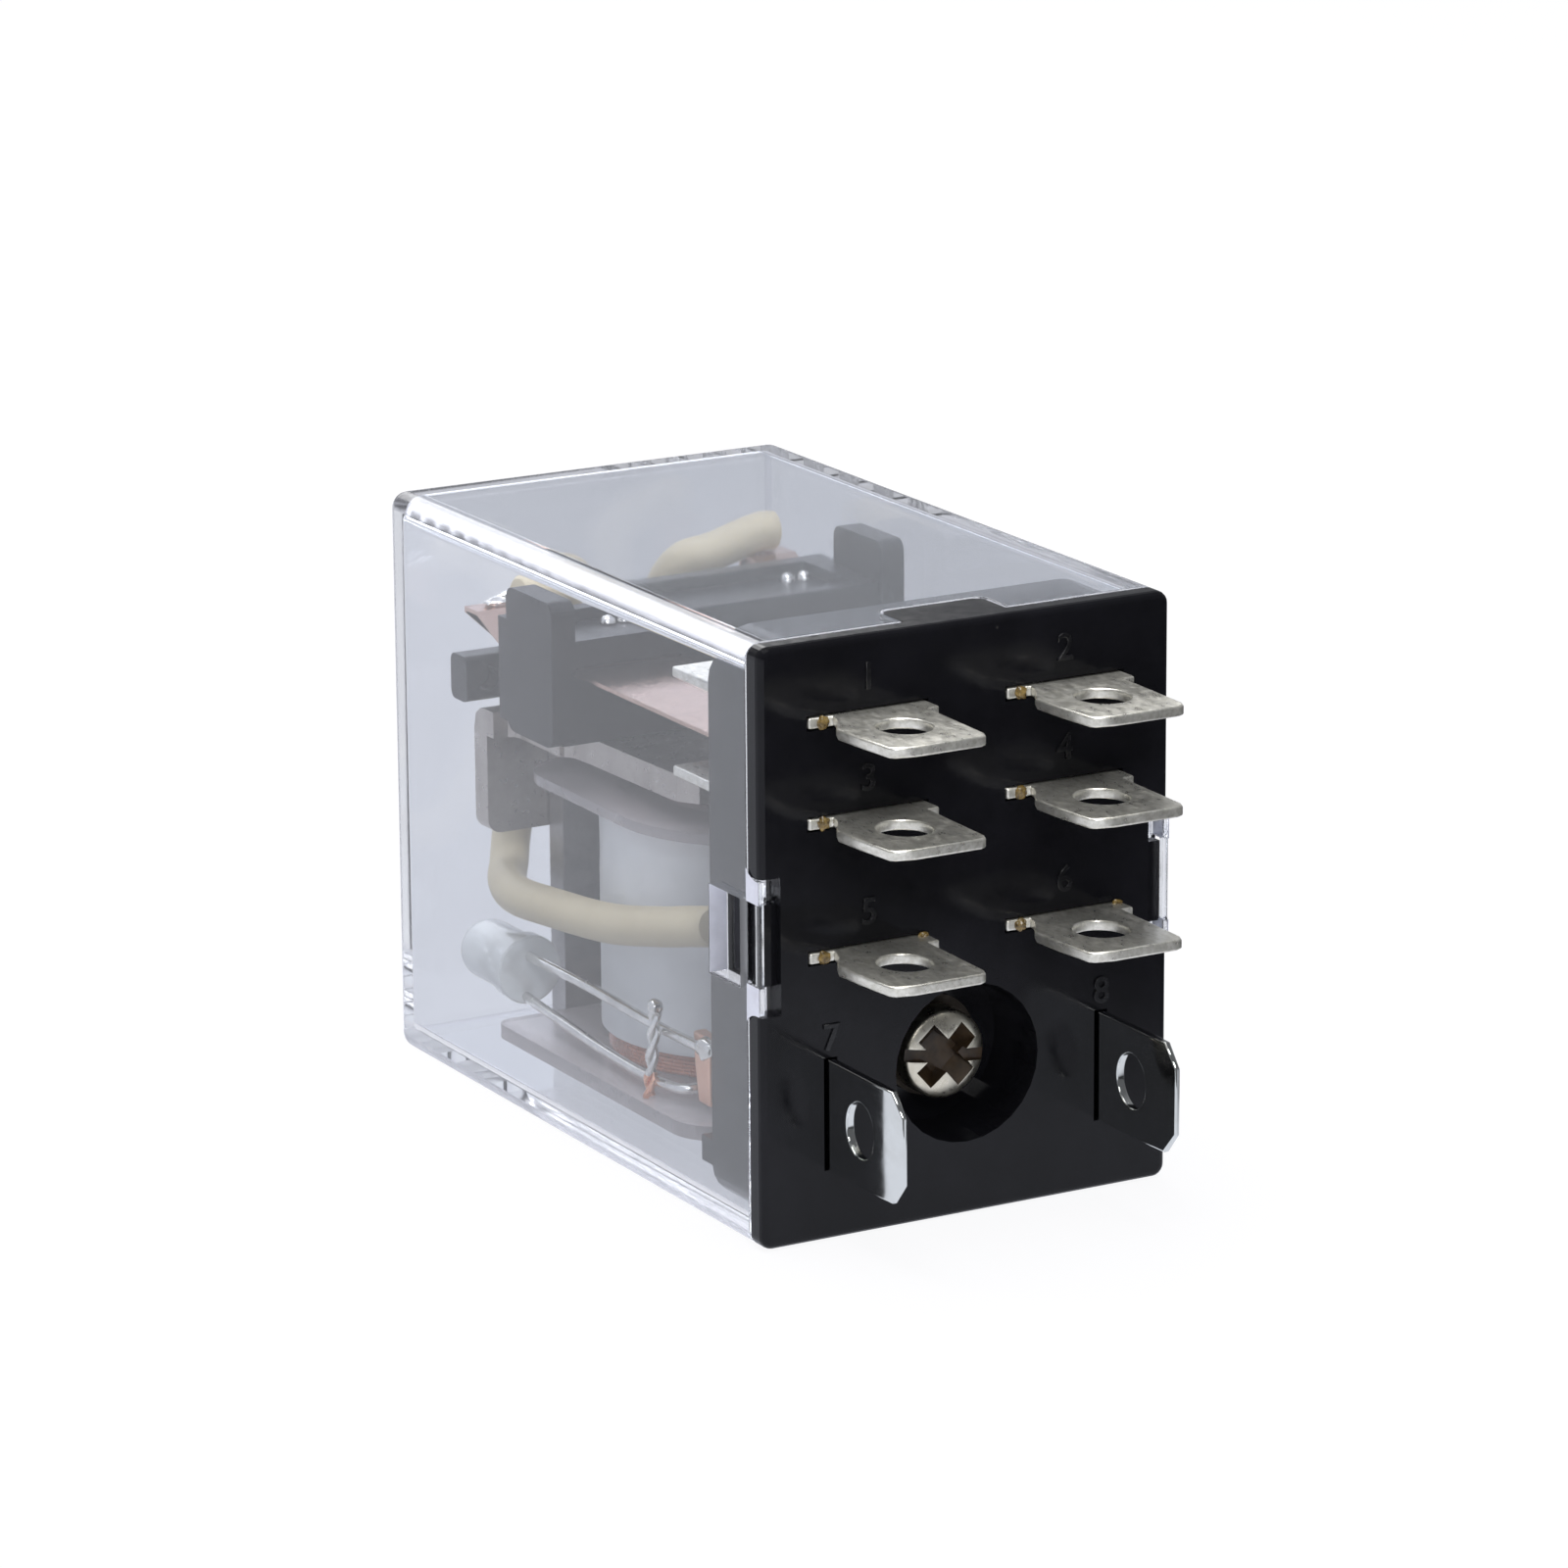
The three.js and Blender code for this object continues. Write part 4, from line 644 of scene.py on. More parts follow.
# %% Blades
CONTACT_BLADES = [
    "nc_terminal_1", "nc_terminal_2", "no_terminal_3", "no_terminal_4", "com_terminal_5", "com_terminal_6",
]
COIL_BLADES = ["coil_terminal_7", "coil_terminal_8"]
BLADE_LENGTH = 6.58
CONTACT_BLADE = {"look": "contact blade", "axis": "z", "thickness": 0.5, "rounding": 0.11}
COIL_BLADE = {"look": "coil blade", "axis": "x", "thickness": 0.42, "rounding": 0.08}
CONTACT_HOLE = (-0.06, -3.3, 1.24, 1.4)
COIL_HOLE = (-2.95, 0.05, 1.2, 1.32)
TAPER_START = -4.6
TAPER_SHARE = 0.42
CONTACT_BLADE_SHARES = [
    (-0.5, 0), (-0.5, 0.015), (-0.3, 0.015), (-0.315, 0.08), (-0.36, 0.17), (-0.425, 0.26), (-0.468, 0.35),
    (-0.45, 0.62), (-0.41, 0.93), (-0.375, 0.965), (-0.228, 1), (0.317, 1), (0.365, 0.975), (0.388, 0.92),
    (0.4, 0.16), (0.5, 0.16), (0.5, 0),
]
COIL_BLADE_SHARES = [(-0.5, 0), (-0.5, 0.86), (-0.3, 1), (0.3, 1), (0.5, 0.86), (0.5, 0)]
COIL_TAIL_START = 5.3
COIL_TAIL_TOP = 1.0
COIL_TAIL_FOOT = -2.1
HOLE_STEPS = 48


def ellipse_outline(a, b, radius_a, radius_b):
    angles = [k / HOLE_STEPS * math.tau for k in range(HOLE_STEPS)]
    return [(a + radius_a * math.cos(angle), b + radius_b * math.sin(angle)) for angle in angles]


def taper_tip(blade, column):
    made = bmesh.new()
    made.from_mesh(blade.data)
    everything = [*made.verts, *made.edges, *made.faces]
    start = Vector((0, TAPER_START, 0)) * MM
    bmesh.ops.bisect_plane(made, geom=everything, plane_co=start, plane_no=(0, 1, 0))
    for vertex in made.verts:
        along = (TAPER_START - vertex.co.y / MM) / (BLADE_LENGTH + TAPER_START)
        if along > 0:
            vertex.co.x = (column + (vertex.co.x / MM - column) * (1 - TAPER_SHARE * along)) * MM
    made.to_mesh(blade.data)
    made.free()


def make_blade(node, outline, hole, middle, look, axis, thickness, rounding):
    half = thickness / 2
    blade = prism_piece(f"{node}_blade", outline, axis, middle - half, middle + half, look, None)
    punch = prism_piece(f"{node}_punch", hole, axis, middle - OVERRUN, middle + OVERRUN, look, None)
    if node in COIL_BLADES:
        taper_tip(blade, middle)
    finish_piece(blade, (), (punch,), rounding, 4, 50)
    stand_in(blade, node)


for node in CONTACT_BLADES:
    low, high, column, row = place_of(node)
    width = high[0] - low[0]
    outline = [(column + across * width, -out * BLADE_LENGTH) for across, out in CONTACT_BLADE_SHARES]
    outline += [(high[0], high[1]), (low[0], high[1])]
    hole = ellipse_outline(column + CONTACT_HOLE[0], *CONTACT_HOLE[1:])
    make_blade(node, outline, hole, row, **CONTACT_BLADE)
for node in COIL_BLADES:
    low, high, column, row = place_of(node)
    outline = [(-out * BLADE_LENGTH, row + up * (high[2] - low[2])) for up, out in COIL_BLADE_SHARES]
    top, foot = row + COIL_TAIL_TOP, row + COIL_TAIL_FOOT
    tail = [(COIL_TAIL_START, high[2]), (COIL_TAIL_START, top), (high[1], top)]
    tail += [(high[1], foot), (COIL_TAIL_START, foot), (COIL_TAIL_START, low[2])]
    hole = ellipse_outline(COIL_HOLE[0], row + COIL_HOLE[1], *COIL_HOLE[2:])
    make_blade(node, [*outline, *tail], hole, column, **COIL_BLADE)
print("blades", len(CONTACT_BLADES) + len(COIL_BLADES))


# %% [markdown]
# Leads, springs and ends of wire are round wires along a line. The line is smooth through a few points, and
# the rings of a wire turn as little as they can from one to the next. Solder and resin are balls drawn out
# to their size, with a soft uneven skin.

# %% Wires and lumps
def smooth_line(points, steps=10):
    points = [Vector(p) for p in points]
    ends = [2 * points[0] - points[1], *points, 2 * points[-1] - points[-2]]
    line = []
    for a, b, c, d in zip(ends, ends[1:], ends[2:], ends[3:]):
        for i in range(steps):
            t = i / steps
            line.append(0.5 * (2 * b + (c - a) * t + (2 * a - 5 * b + 4 * c - d) * t * t
                               + (3 * b - a - 3 * c + d) * t * t * t))
    return [*line, points[-1]]


# The radius may be a function of the share of the way along.
def wire_piece(name, line, radius, look, body="housing", node=None, sides=20):
    line = [Vector(p) for p in line]
    vertices = []
    across = None
    for i, point in enumerate(line):
        ahead = (line[min(i + 1, len(line) - 1)] - line[max(i - 1, 0)]).normalized()
        if across is None:
            across = ahead.orthogonal().normalized()
        across = (across - ahead * across.dot(ahead)).normalized()
        other = ahead.cross(across)
        size = radius(i / (len(line) - 1)) if callable(radius) else radius
        for s in range(sides):
            angle = s / sides * math.tau
            vertices.append(point + (across * math.cos(angle) + other * math.sin(angle)) * size)
    walls, ends = tube_faces(len(line), sides)
    return mesh_piece(name, vertices, [*walls, *ends], look, body, node)


def lump_piece(name, centre, size, look, unevenness, seed, body="housing"):
    ball = bmesh.new()
    bmesh.ops.create_icosphere(ball, subdivisions=3, radius=1)
    vertices = []
    for vertex in ball.verts:
        swell = 1 + unevenness * noise.noise(vertex.co * 1.7 + Vector((seed, seed * 2, 7)))
        vertices.append([c + v * s * swell for c, v, s in zip(centre, vertex.co, size)])
    faces = [[v.index for v in face.verts] for face in ball.faces]
    ball.free()
    mesh_piece(name, vertices, faces, look, body)


# %% [markdown]
# A moving lead has one end on the armature and the other on the base. The strands and the weld at the leaf
# end ride on the armature, and the sleeve stays still. The sleeve's cut ends turn in a little, and the bare
# strands fan out from there to the joint.

# %% Flexible leads
LEAD_RADIUS = 0.95
HALF_WIDTH = 9.75
LAMP_TOP = -6.9
LEAF_TAIL_TOP = 9.05
LEAD_SHARES = [
    (-0.59, 31.1, 1.02), (-0.44, 31.3, 1.02), (-0.31, 32, 0.99), (-0.256, 33, 0.895), (-0.27, 33.5, 0.76),
    (-0.35, 33.6, 0.58), (-0.46, 33.4, 0.405), (-0.555, 32.9, 0.27), (-0.63, 31.9, 0.182),
    (-0.725, 30.3, 0.15), (-0.815, 27.5, 0.156), (-0.86, 23.3, 0.19), (-0.86, 17.5, 0.232),
    (-0.86, 12.5, 0.3), (-0.855, 9.5, 0.348), (-0.835, 7.75, 0.373),
]
RIGHT_LEAD_START_SHARES = [(-0.78, 31, 1.065), (-0.68, 31.05, 1.065)]
CUT_END_SHARE = 0.006
CUT_END_RADIUS_SHARE = 0.86
STRANDS = 7
STRAND_RADIUS = 0.13
STRAND_RING = 0.32
LEAF_JOINT = (6.9, 31.1, 9.2)
BLADE_JOINT = (7.2, 6.9, -0.15)


def lead_route(side):
    shares = LEAD_SHARES if side < 0 else [*RIGHT_LEAD_START_SHARES, *LEAD_SHARES[1:]]
    return [
        (-side * across * HALF_WIDTH, back, LAMP_TOP + up * (LEAF_TAIL_TOP - LAMP_TOP))
        for across, back, up in shares
    ]


def sleeve_radius(share):
    edge = min(1, min(share, 1 - share) / CUT_END_SHARE)
    return LEAD_RADIUS * (CUT_END_RADIUS_SHARE + (1 - CUT_END_RADIUS_SHARE) * edge)


def strands(name, start, aim, spread, body):
    for i in range(STRANDS):
        angle = i / STRANDS * math.tau
        offset = Vector((0, math.cos(angle), math.sin(angle))) * STRAND_RING
        fan = Vector((math.cos(angle * 2), math.sin(angle), 0)) * spread
        middle = (start + aim) / 2 + offset * 0.8 + fan * 0.4
        line = smooth_line([start + offset, middle, aim + fan], 6)
        wire_piece(f"{name}_strand_{i + 1}", line, STRAND_RADIUS, "wire", body, sides=8)


for side, label in SIDES:
    route = lead_route(side)
    node = f"flex_lead_{label}"
    lead = wire_piece(f"lead_sleeve_{label}", smooth_line(route, 9), sleeve_radius, "sleeve", None, node, 28)
    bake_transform(lead)
    leaf_joint = Vector((side * LEAF_JOINT[0], *LEAF_JOINT[1:]))
    strands(f"leaf_end_{label}", Vector(route[0]), leaf_joint, 0.35, "moving_armature")
    lump_piece(f"leaf_weld_{label}", leaf_joint, (0.75, 0.45, 0.22), "solder", 0.3, side, "moving_armature")
    blade_joint = Vector((side * BLADE_JOINT[0], *BLADE_JOINT[1:]))
    strands(f"blade_end_{label}", Vector(route[-1]), blade_joint, 0.3, "housing")
    lump_piece(f"blade_joint_{label}", blade_joint, (0.8, 0.55, 0.3), "solder", 0.3, side + 4)
print("leads", [len(lead_route(side)) for side, _ in SIDES], "points")

# %% [markdown]
# The return spring is one wire. It hangs between the armature's lug and the hooked tab of the yoke.

# %% Return spring
SPRING_WIRE_RADIUS = 0.18
SPRING_RADIUS = 1.0
SPRING_CURLS = 6
SPRING_STEPS = 28
SPRING_END = 0.72
spring_low, spring_high = box_of("return_spring")
spring_y = (spring_low[1] + spring_high[1]) / 2
low_turn = spring_low[2] + SPRING_END
high_turn = spring_high[2] - SPRING_END
spring_line = [(SPRING_RADIUS, spring_y, spring_low[2] + share * SPRING_END) for share in (0, 0.5)]
for i in range(SPRING_CURLS * SPRING_STEPS + 1):
    angle = i / SPRING_STEPS * math.tau
    height = low_turn + (high_turn - low_turn) * i / (SPRING_CURLS * SPRING_STEPS)
    spring_line.append((SPRING_RADIUS * math.cos(angle), spring_y + SPRING_RADIUS * math.sin(angle), height))
spring_line += [(SPRING_RADIUS, spring_y, spring_high[2] - share * SPRING_END) for share in (0.5, 0)]
spring = wire_piece("spring_coil", spring_line, SPRING_WIRE_RADIUS, "spring", None, "return_spring", 14)
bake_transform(spring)
print("spring turns", SPRING_CURLS)

# %% [markdown]
# The winding's ends are twisted pairs: bare copper at the foot, tinned above and soldered at the top.

# %% Twisted ends of the winding
TWIST_INSET = 0.33
TWIST_OFFSET = 0.16
TWIST_WIRE_RADIUS = 0.165
TWIST_PITCH = 1.1
TWIST_STEPS = 16
COPPER_SWELL = 1.02
TWISTS = {"start": (0.7, 0.26), "finish": (0.0, 0.92)}


def twisted_pair(name, node, lean, copper_share):
    low, high, column, _ = place_of(node)
    foot = Vector((column, high[1] - TWIST_INSET, low[2]))
    top = Vector((column, high[1] - TWIST_INSET - lean, high[2]))
    count = int((top.z - foot.z) / TWIST_PITCH * TWIST_STEPS)
    for strand in (0, 1):
        line = []
        for i in range(count + 1):
            angle = i / TWIST_STEPS * math.tau / 2 + strand * math.pi
            off = Vector((math.cos(angle), math.sin(angle), 0)) * TWIST_OFFSET
            line.append(foot.lerp(top, i / count) + off)
        split = int(len(line) * copper_share)
        replaced = None if strand else node
        bare, tinned = line[:split + 1], line[split:]
        wire_piece(f"{name}_tinned_{strand + 1}", tinned, TWIST_WIRE_RADIUS, "wire", node=replaced, sides=12)
        wire_piece(f"{name}_copper_{strand + 1}", bare, TWIST_WIRE_RADIUS * COPPER_SWELL, "copper", sides=12)
    lump_piece(f"{name}_solder", top, (0.36, 0.36, 0.42), "solder", 0.25, lean + 2)


for end, (lean, copper_share) in TWISTS.items():
    twisted_pair(f"{end}_twist", f"coil_tail_{end}", lean, copper_share)
print("twisted ends", len(TWISTS))


# %% [markdown]
# Round pieces are turned: a profile of radius and place runs about a line through the centre, closed on the
# axis.

# %% Turned pieces
def turned_piece(name, profile, axis, centre, look, body="housing", node=None, steps=96, sharp=35):
    vertices, faces, rings = [], [], []
    axes = {"x": (1, 2, 0), "y": (0, 2, 1), "z": (0, 1, 2)}[axis]
    for radius, place in profile:
        ring = []
        for s in range(steps if radius > 0 else 1):
            angle = s / steps * math.tau
            point = [0, 0, 0]
            point[axes[0]] = centre[axes[0]] + radius * math.cos(angle)
            point[axes[1]] = centre[axes[1]] + radius * math.sin(angle)
            point[axes[2]] = place
            ring.append(len(vertices))
            vertices.append(point)
        rings.append(ring)
    for here, there in zip(rings, rings[1:]):
        for s in range(steps):
            n = (s + 1) % steps
            corners = (here[s % len(here)], here[n % len(here)], there[n % len(there)], there[s % len(there)])
            face = list(dict.fromkeys(corners))
            if len(face) > 2:
                faces.append(face)
    return mesh_piece(name, vertices, faces, look, body, node, sharp)


# A quarter of an ellipse from its widest place to the axis.
def dome(radius, foot, height, steps):
    points = [(radius * math.cos(turn), foot + height * math.sin(turn)) for turn in quarter_turn(steps)]
    return [*points[:-1], (0, points[-1][1])]


# %% [markdown]
# The lamp is a 3 mm light-emitting diode with a domed resin body and a collar. It hangs on its wires, a
# little above and behind its CAD place, where the photograph shows it. Its frame shows through the resin as
# two posts and a cup, so they are modelled inside it.

# %% Indicator lamp
LAMP_LIFT = Vector((0, 0.6, 0.6))
LAMP_RADIUS = 1.5
LAMP_STEPS = 12
COLLAR_LENGTH = 0.9
COLLAR_EDGE = 0.08
POSTS = {"upper": (1, 3.1, 0.24), "lower": (-1, 2.6, 0.34)}
POST_FOOT = [(0.3, 0.9144), (1.5, 0.6)]
POST_TOP = 0.34
CUP_PROFILE = [(0, 0), (0.38, 0), (0.52, 0.5), (0.44, 0.5), (0.2, 0.22), (0, 0.22)]
CUP_DROP = 0.3
lamp_low, lamp_high = (corner + LAMP_LIFT for corner in box_of("led_lamp"))
lamp_middle = (lamp_low + lamp_high) / 2
lamp_start = lamp_low[1]
collar_radius = (lamp_high[0] - lamp_low[0]) / 2
turned_piece("lamp_body", [
    (0, lamp_start), (collar_radius - COLLAR_EDGE, lamp_start), (collar_radius, lamp_start + COLLAR_EDGE),
    (collar_radius, lamp_start + COLLAR_LENGTH - COLLAR_EDGE),
    (collar_radius - COLLAR_EDGE, lamp_start + COLLAR_LENGTH), (LAMP_RADIUS, lamp_start + COLLAR_LENGTH),
    *dome(LAMP_RADIUS, lamp_high[1] - LAMP_RADIUS, LAMP_RADIUS, LAMP_STEPS),
], "y", lamp_middle, "lamp", "housing", "led_lamp", 64)
for label, (sign, length, radius) in POSTS.items():
    post = [
        (lamp_middle[0], lamp_start + along, lamp_middle[2] + sign * off)
        for along, off in (*POST_FOOT, (length, POST_TOP))
    ]
    wire_piece(f"lamp_post_{label}", smooth_line(post, 8), radius, "wire")
cup = [(radius, lamp_start + POSTS["lower"][1] + along) for radius, along in CUP_PROFILE]
turned_piece("lamp_cup", cup, "y", (lamp_middle[0], 0, lamp_middle[2] - CUP_DROP), "solder", steps=32)
print("lamp from", round(lamp_start, 2), "to", round(lamp_high[1], 2), "mm")

# %% [markdown]
# The lamp's wires are tinned and a little bent, as hand-soldered wires are. The lower one carries the
# resistor.

# %% Lamp wires
WIRE_RADIUS = 0.25
WIRE_BEND = 1.4
WIRE_REACH = 0.3 + LAMP_LIFT.y
UPPER_BEND_PLACE = 5
UPPER_BENDS = [(-0.02, -0.06), (0.03, 0.05)]
upper_low, upper_high = box_of("led_wire_upper")
upper = (upper_low + upper_high) / 2
bend_places = (upper_low[1] + UPPER_BEND_PLACE, upper_high[1] - UPPER_BEND_PLACE)
wire_piece("lamp_wire_upper", smooth_line([
    (upper[0], upper_low[1], upper[2]),
    *((upper[0] + across, y, upper[2] + up) for (across, up), y in zip(UPPER_BENDS, bend_places)),
    (upper[0], upper_high[1] + WIRE_REACH, upper[2]),
], 12), WIRE_RADIUS, "wire", "housing", "led_wire_upper", 16)
lower_low, lower_high = box_of("led_wire_lower")
resistor_low, resistor_high = box_of("resistor")
resistor_middle = (resistor_low + resistor_high) / 2
left, right = lower_low[0] + WIRE_RADIUS, lower_high[0] - WIRE_RADIUS
crossing_y, crossing_z = resistor_middle[1], resistor_middle[2]
lamp_row = lower_low[2] + WIRE_RADIUS
wire_piece("lamp_wire_lower", smooth_line([
    (left, lower_high[1] + WIRE_REACH, lamp_row + LAMP_LIFT.z),
    (left, lower_high[1] - 1.2, lamp_row + LAMP_LIFT.z * 0.7),
    (left, (lower_high[1] + crossing_y) / 2, lamp_row),
    (left, crossing_y + WIRE_BEND, lamp_row), (left + WIRE_BEND, crossing_y, crossing_z),
    (0, crossing_y, crossing_z), (right - WIRE_BEND, crossing_y, crossing_z),
    (right, lower_low[1] + 0.6, crossing_z), (right, lower_low[1], crossing_z),
], 12), WIRE_RADIUS * 0.98, "wire", "housing", "led_wire_lower", 16)
print("wires end at", round(upper_high[1] + WIRE_REACH, 2), "mm")

# %% [markdown]
# The resistor's coat is thicker over its end caps, which gives it the shape of a bone. The bands are thin
# rings.

# %% Resistor
RESISTOR_STEPS = 40
WAIST_SHARE = 0.86
CAP_START_SHARE = 0.55
SHOULDER_SHARE = 0.86
BANDS = [("winding", -0.62), ("base", -0.3), ("winding", 0.02), ("leaf", 0.55)]
BAND_HALF_WIDTH = 0.13
BAND_DEPTH = 0.1
resistor_radius = (resistor_high[2] - resistor_low[2]) / 2
resistor_half = (resistor_high[0] - resistor_low[0]) / 2
resistor_profile = []
for i in range(RESISTOR_STEPS + 1):
    share = i / RESISTOR_STEPS * 2 - 1
    cap = max(0.0, (abs(share) - CAP_START_SHARE) / (1 - CAP_START_SHARE))
    past = max(0.0, (abs(share) - SHOULDER_SHARE) / (1 - SHOULDER_SHARE))
    shoulder = math.sqrt(max(0.0, 1 - past ** 2))
    swell = WAIST_SHARE + (1 - WAIST_SHARE) * math.sin(math.pi * min(1, cap * 1.3))
    radius = resistor_radius * swell * shoulder
    resistor_profile.append((radius if 0 < i < RESISTOR_STEPS else 0, resistor_half * share))
turned_piece("resistor_body", resistor_profile, "x", resistor_middle, "resistor", "housing", "resistor", 48)
for i, (look, share) in enumerate(BANDS):
    outer = resistor_radius * (1.01 if abs(share) > 0.5 else 0.885)
    inner = outer - BAND_DEPTH
    start, end = share * resistor_half - BAND_HALF_WIDTH, share * resistor_half + BAND_HALF_WIDTH
    band = [(inner, start), (outer, start), (outer, end), (inner, end), (inner, start)]
    turned_piece(f"resistor_band_{i + 1}", band, "x", resistor_middle, look, steps=48)
print("bands", len(BANDS))

# %% [markdown]
# Solder holds each wire to the inner tail of its coil blade. Behind each tail the blade's end shows bare
# copper alloy, a rounded plate over the tail.

# %% Solder and copper ends of the coil blades
BLADE_END_HALF = 0.34
BLADE_END_ROUNDING = 0.12
BLADE_END_OUTLINE = [(-0.5, 1.05), (1.05, 1.15), (0.95, -0.4), (0.6, -2.2), (-0.5, -2.2)]
tail_end = box_of("coil_terminal_7")[1][1]
lump_piece("solder_7", (upper[0] + 0.12, tail_end - 0.35, upper[2]), (0.4, 0.5, 0.55), "solder", 0.3, 5)
for node in COIL_BLADES:
    low, high, column, row = place_of(node)
    outline = [(high[1] + back, row + up) for back, up in BLADE_END_OUTLINE]
    start, end = column - BLADE_END_HALF, column + BLADE_END_HALF
    plate = prism_piece(f"{node}_end", outline, "x", start, end, "blade end")
    finish_piece(plate, (), (), BLADE_END_ROUNDING)
lump_piece("solder_8", (right, lower_low[1] + 0.45, crossing_z), (0.42, 0.5, 0.5), "solder", 0.3, 6)
print("blade ends", len(COIL_BLADES))

# %% [markdown]
# The coil is fine enamelled wire laid in rings over its full height, with white tape round it.

# %% Winding
TURN_PITCH = 0.17
POINTS_PER_TURN = 4
GROOVE = 0.05
HUB_RADIUS = 3.2
winding_low, winding_high = box_of("winding")
winding_middle = (winding_low + winding_high) / 2
winding_radius = (winding_high[0] - winding_low[0]) / 2
winding_height = winding_high[2] - winding_low[2]
turns = int(winding_height / TURN_PITCH)
winding_profile = [(HUB_RADIUS, winding_low[2]), (winding_radius - GROOVE, winding_low[2])]
for i in range(turns * POINTS_PER_TURN):
    height = winding_low[2] + (i + 0.5) / (turns * POINTS_PER_TURN) * winding_height
    winding_profile.append((winding_radius - GROOVE * abs(math.cos(math.pi * i / POINTS_PER_TURN)), height))
winding_profile += [
    (winding_radius - GROOVE, winding_high[2]), (HUB_RADIUS, winding_high[2]), (HUB_RADIUS, winding_low[2]),
]
turned_piece("winding_turns", winding_profile, "z", winding_middle, "winding", "housing", "winding", 96, 60)
print("winding turns drawn", turns)

# %% [markdown]
# The tape's end laps over its start, so its section is a spiral and not a circle. It is a grid of points on
# the outside and one on the inside, closed along the edges. A little noise makes soft creases.

# %% White tape
TAPE_GAP = 0.03
TAPE_THICKNESS = 0.22
TAPE_LAP = 0.12
TAPE_SEAM = -2.2
TAPE_STEPS = 192
TAPE_ROWS = 24
CREASE_DEPTH = 0.035
tape_low, tape_high = box_of("coil_tape")
tape_inner = winding_radius + TAPE_GAP
vertices = []
for is_outside, base_radius in ((True, tape_inner + TAPE_THICKNESS), (False, tape_inner)):
    for r in range(TAPE_ROWS + 1):
        height = tape_low[2] + (tape_high[2] - tape_low[2]) * r / TAPE_ROWS
        for s in range(TAPE_STEPS + 1):
            angle = TAPE_SEAM + s / TAPE_STEPS * math.tau
            radius = base_radius
            if is_outside:
                crease = noise.noise(Vector((math.cos(angle) * 2.2, math.sin(angle) * 2.2, height * 0.5)))
                radius += s / TAPE_STEPS * TAPE_LAP - CREASE_DEPTH * max(0.0, crease)
            vertices.append((radius * math.cos(angle), winding_middle[1] + radius * math.sin(angle), height))
row = TAPE_STEPS + 1
sheet = row * (TAPE_ROWS + 1)


def quads(starts, first, second):
    return [[start, start + first, start + first + second, start + second] for start in starts]


inner_rows, inner_steps = range(TAPE_ROWS), range(TAPE_STEPS)
layers = (0, sheet)
faces = quads([layer + r * row + s for layer in layers for r in inner_rows for s in inner_steps], 1, row)
faces += quads([r * row + s for s in inner_steps for r in (0, TAPE_ROWS)], 1, sheet)
faces += quads([r * row + s for r in inner_rows for s in (0, TAPE_STEPS)], row, sheet)
mesh_piece("tape_wrap", vertices, faces, "tape", "housing", "coil_tape", 30)
print("tape faces", len(faces))

# %% [markdown]
# Contacts are turned silver buttons with a soft dome, and the moving ones are rivets through the leaf.

# %% Contacts
DOME_STEPS = 6
DOME_START_SHARE = 0.6
FIXED_CONTACTS = {"nc_contact_1": -1, "nc_contact_2": -1, "no_contact_3": 1, "no_contact_4": 1}
LEAF_THICKNESS = 0.2
LOWER_HEAD_DEPTH = 0.35


def button_profile(radius, foot, crown):
    side = (crown - foot) * DOME_START_SHARE
    return [(0, foot), (radius, foot), *dome(radius, foot + side, crown - foot - side, DOME_STEPS)]


for node, up in FIXED_CONTACTS.items():
    low, high = box_of(node)
    foot, crown = (low[2], high[2]) if up > 0 else (high[2], low[2])
    profile = button_profile((high[0] - low[0]) / 2, foot, crown)
    turned_piece(f"{node}_button", profile, "z", (low + high) / 2, "contact", "housing", node, 48)
for _, label in SIDES:
    node = f"moving_contact_{label}"
    low, high = box_of(node)
    leaf_plane = low[2] + LOWER_HEAD_DEPTH
    radius = (high[0] - low[0]) / 2
    for head, foot, crown, replaced in (
        ("upper", leaf_plane + LEAF_THICKNESS, high[2], node), ("lower", leaf_plane, low[2], None),
    ):
        profile = button_profile(radius, foot, crown)
        middle = (low + high) / 2
        turned_piece(f"{node}_{head}_head", profile, "z", middle, "contact", "moving_armature", replaced, 48)
print("contacts", len(FIXED_CONTACTS) + len(SIDES))

# %% [markdown]
# The yoke screw sits deep in the round recess of the base. Its cross recess and a shallow slot are cut with
# boolean modifiers, and a bevel modifier rounds the edges, because a sharp edge never shines. The cut faces
# take a dark brown finish from the cutters: painted shade in the drive.

# %% Yoke screw
screw_low, screw_high = box_of("yoke_screw")
SCREW_ROW = -6.88
HEAD_FACE = screw_low[1] - 0.4
HEAD_RADIUS = 2.08
HEAD_HEIGHT = 1.6
HEAD_CROWN = 0.35
HEAD_STEPS = 8
SHANK_RADIUS = 1.0
SHANK_POINT = 0.4
DRIVE_LENGTH = 3.15
DRIVE_FLOOR = 1.7
DRIVE_WIDTH = 1.1
DRIVE_LIP = 0.15
DRIVE_DEPTH = 1.0
DRIVE_TURN = 0.85
SLOT_DEPTH = 0.4
SLOT_WIDTH = 0.6
SLOT_TURN = 0.12
SCREW_ROUNDING = 0.07
screw_profile = [
    (HEAD_RADIUS * math.sin(turn), HEAD_FACE + HEAD_CROWN * (1 - math.cos(turn)))
    for turn in quarter_turn(HEAD_STEPS)
]
screw_profile += [
    (HEAD_RADIUS, HEAD_FACE + HEAD_HEIGHT), (SHANK_RADIUS, HEAD_FACE + HEAD_HEIGHT),
    (SHANK_RADIUS, screw_high[1] - SHANK_POINT), (SHANK_RADIUS * 0.5, screw_high[1]), (0, screw_high[1]),
]
screw = turned_piece("screw_head", screw_profile, "y", (0, 0, SCREW_ROW), "screw", None)


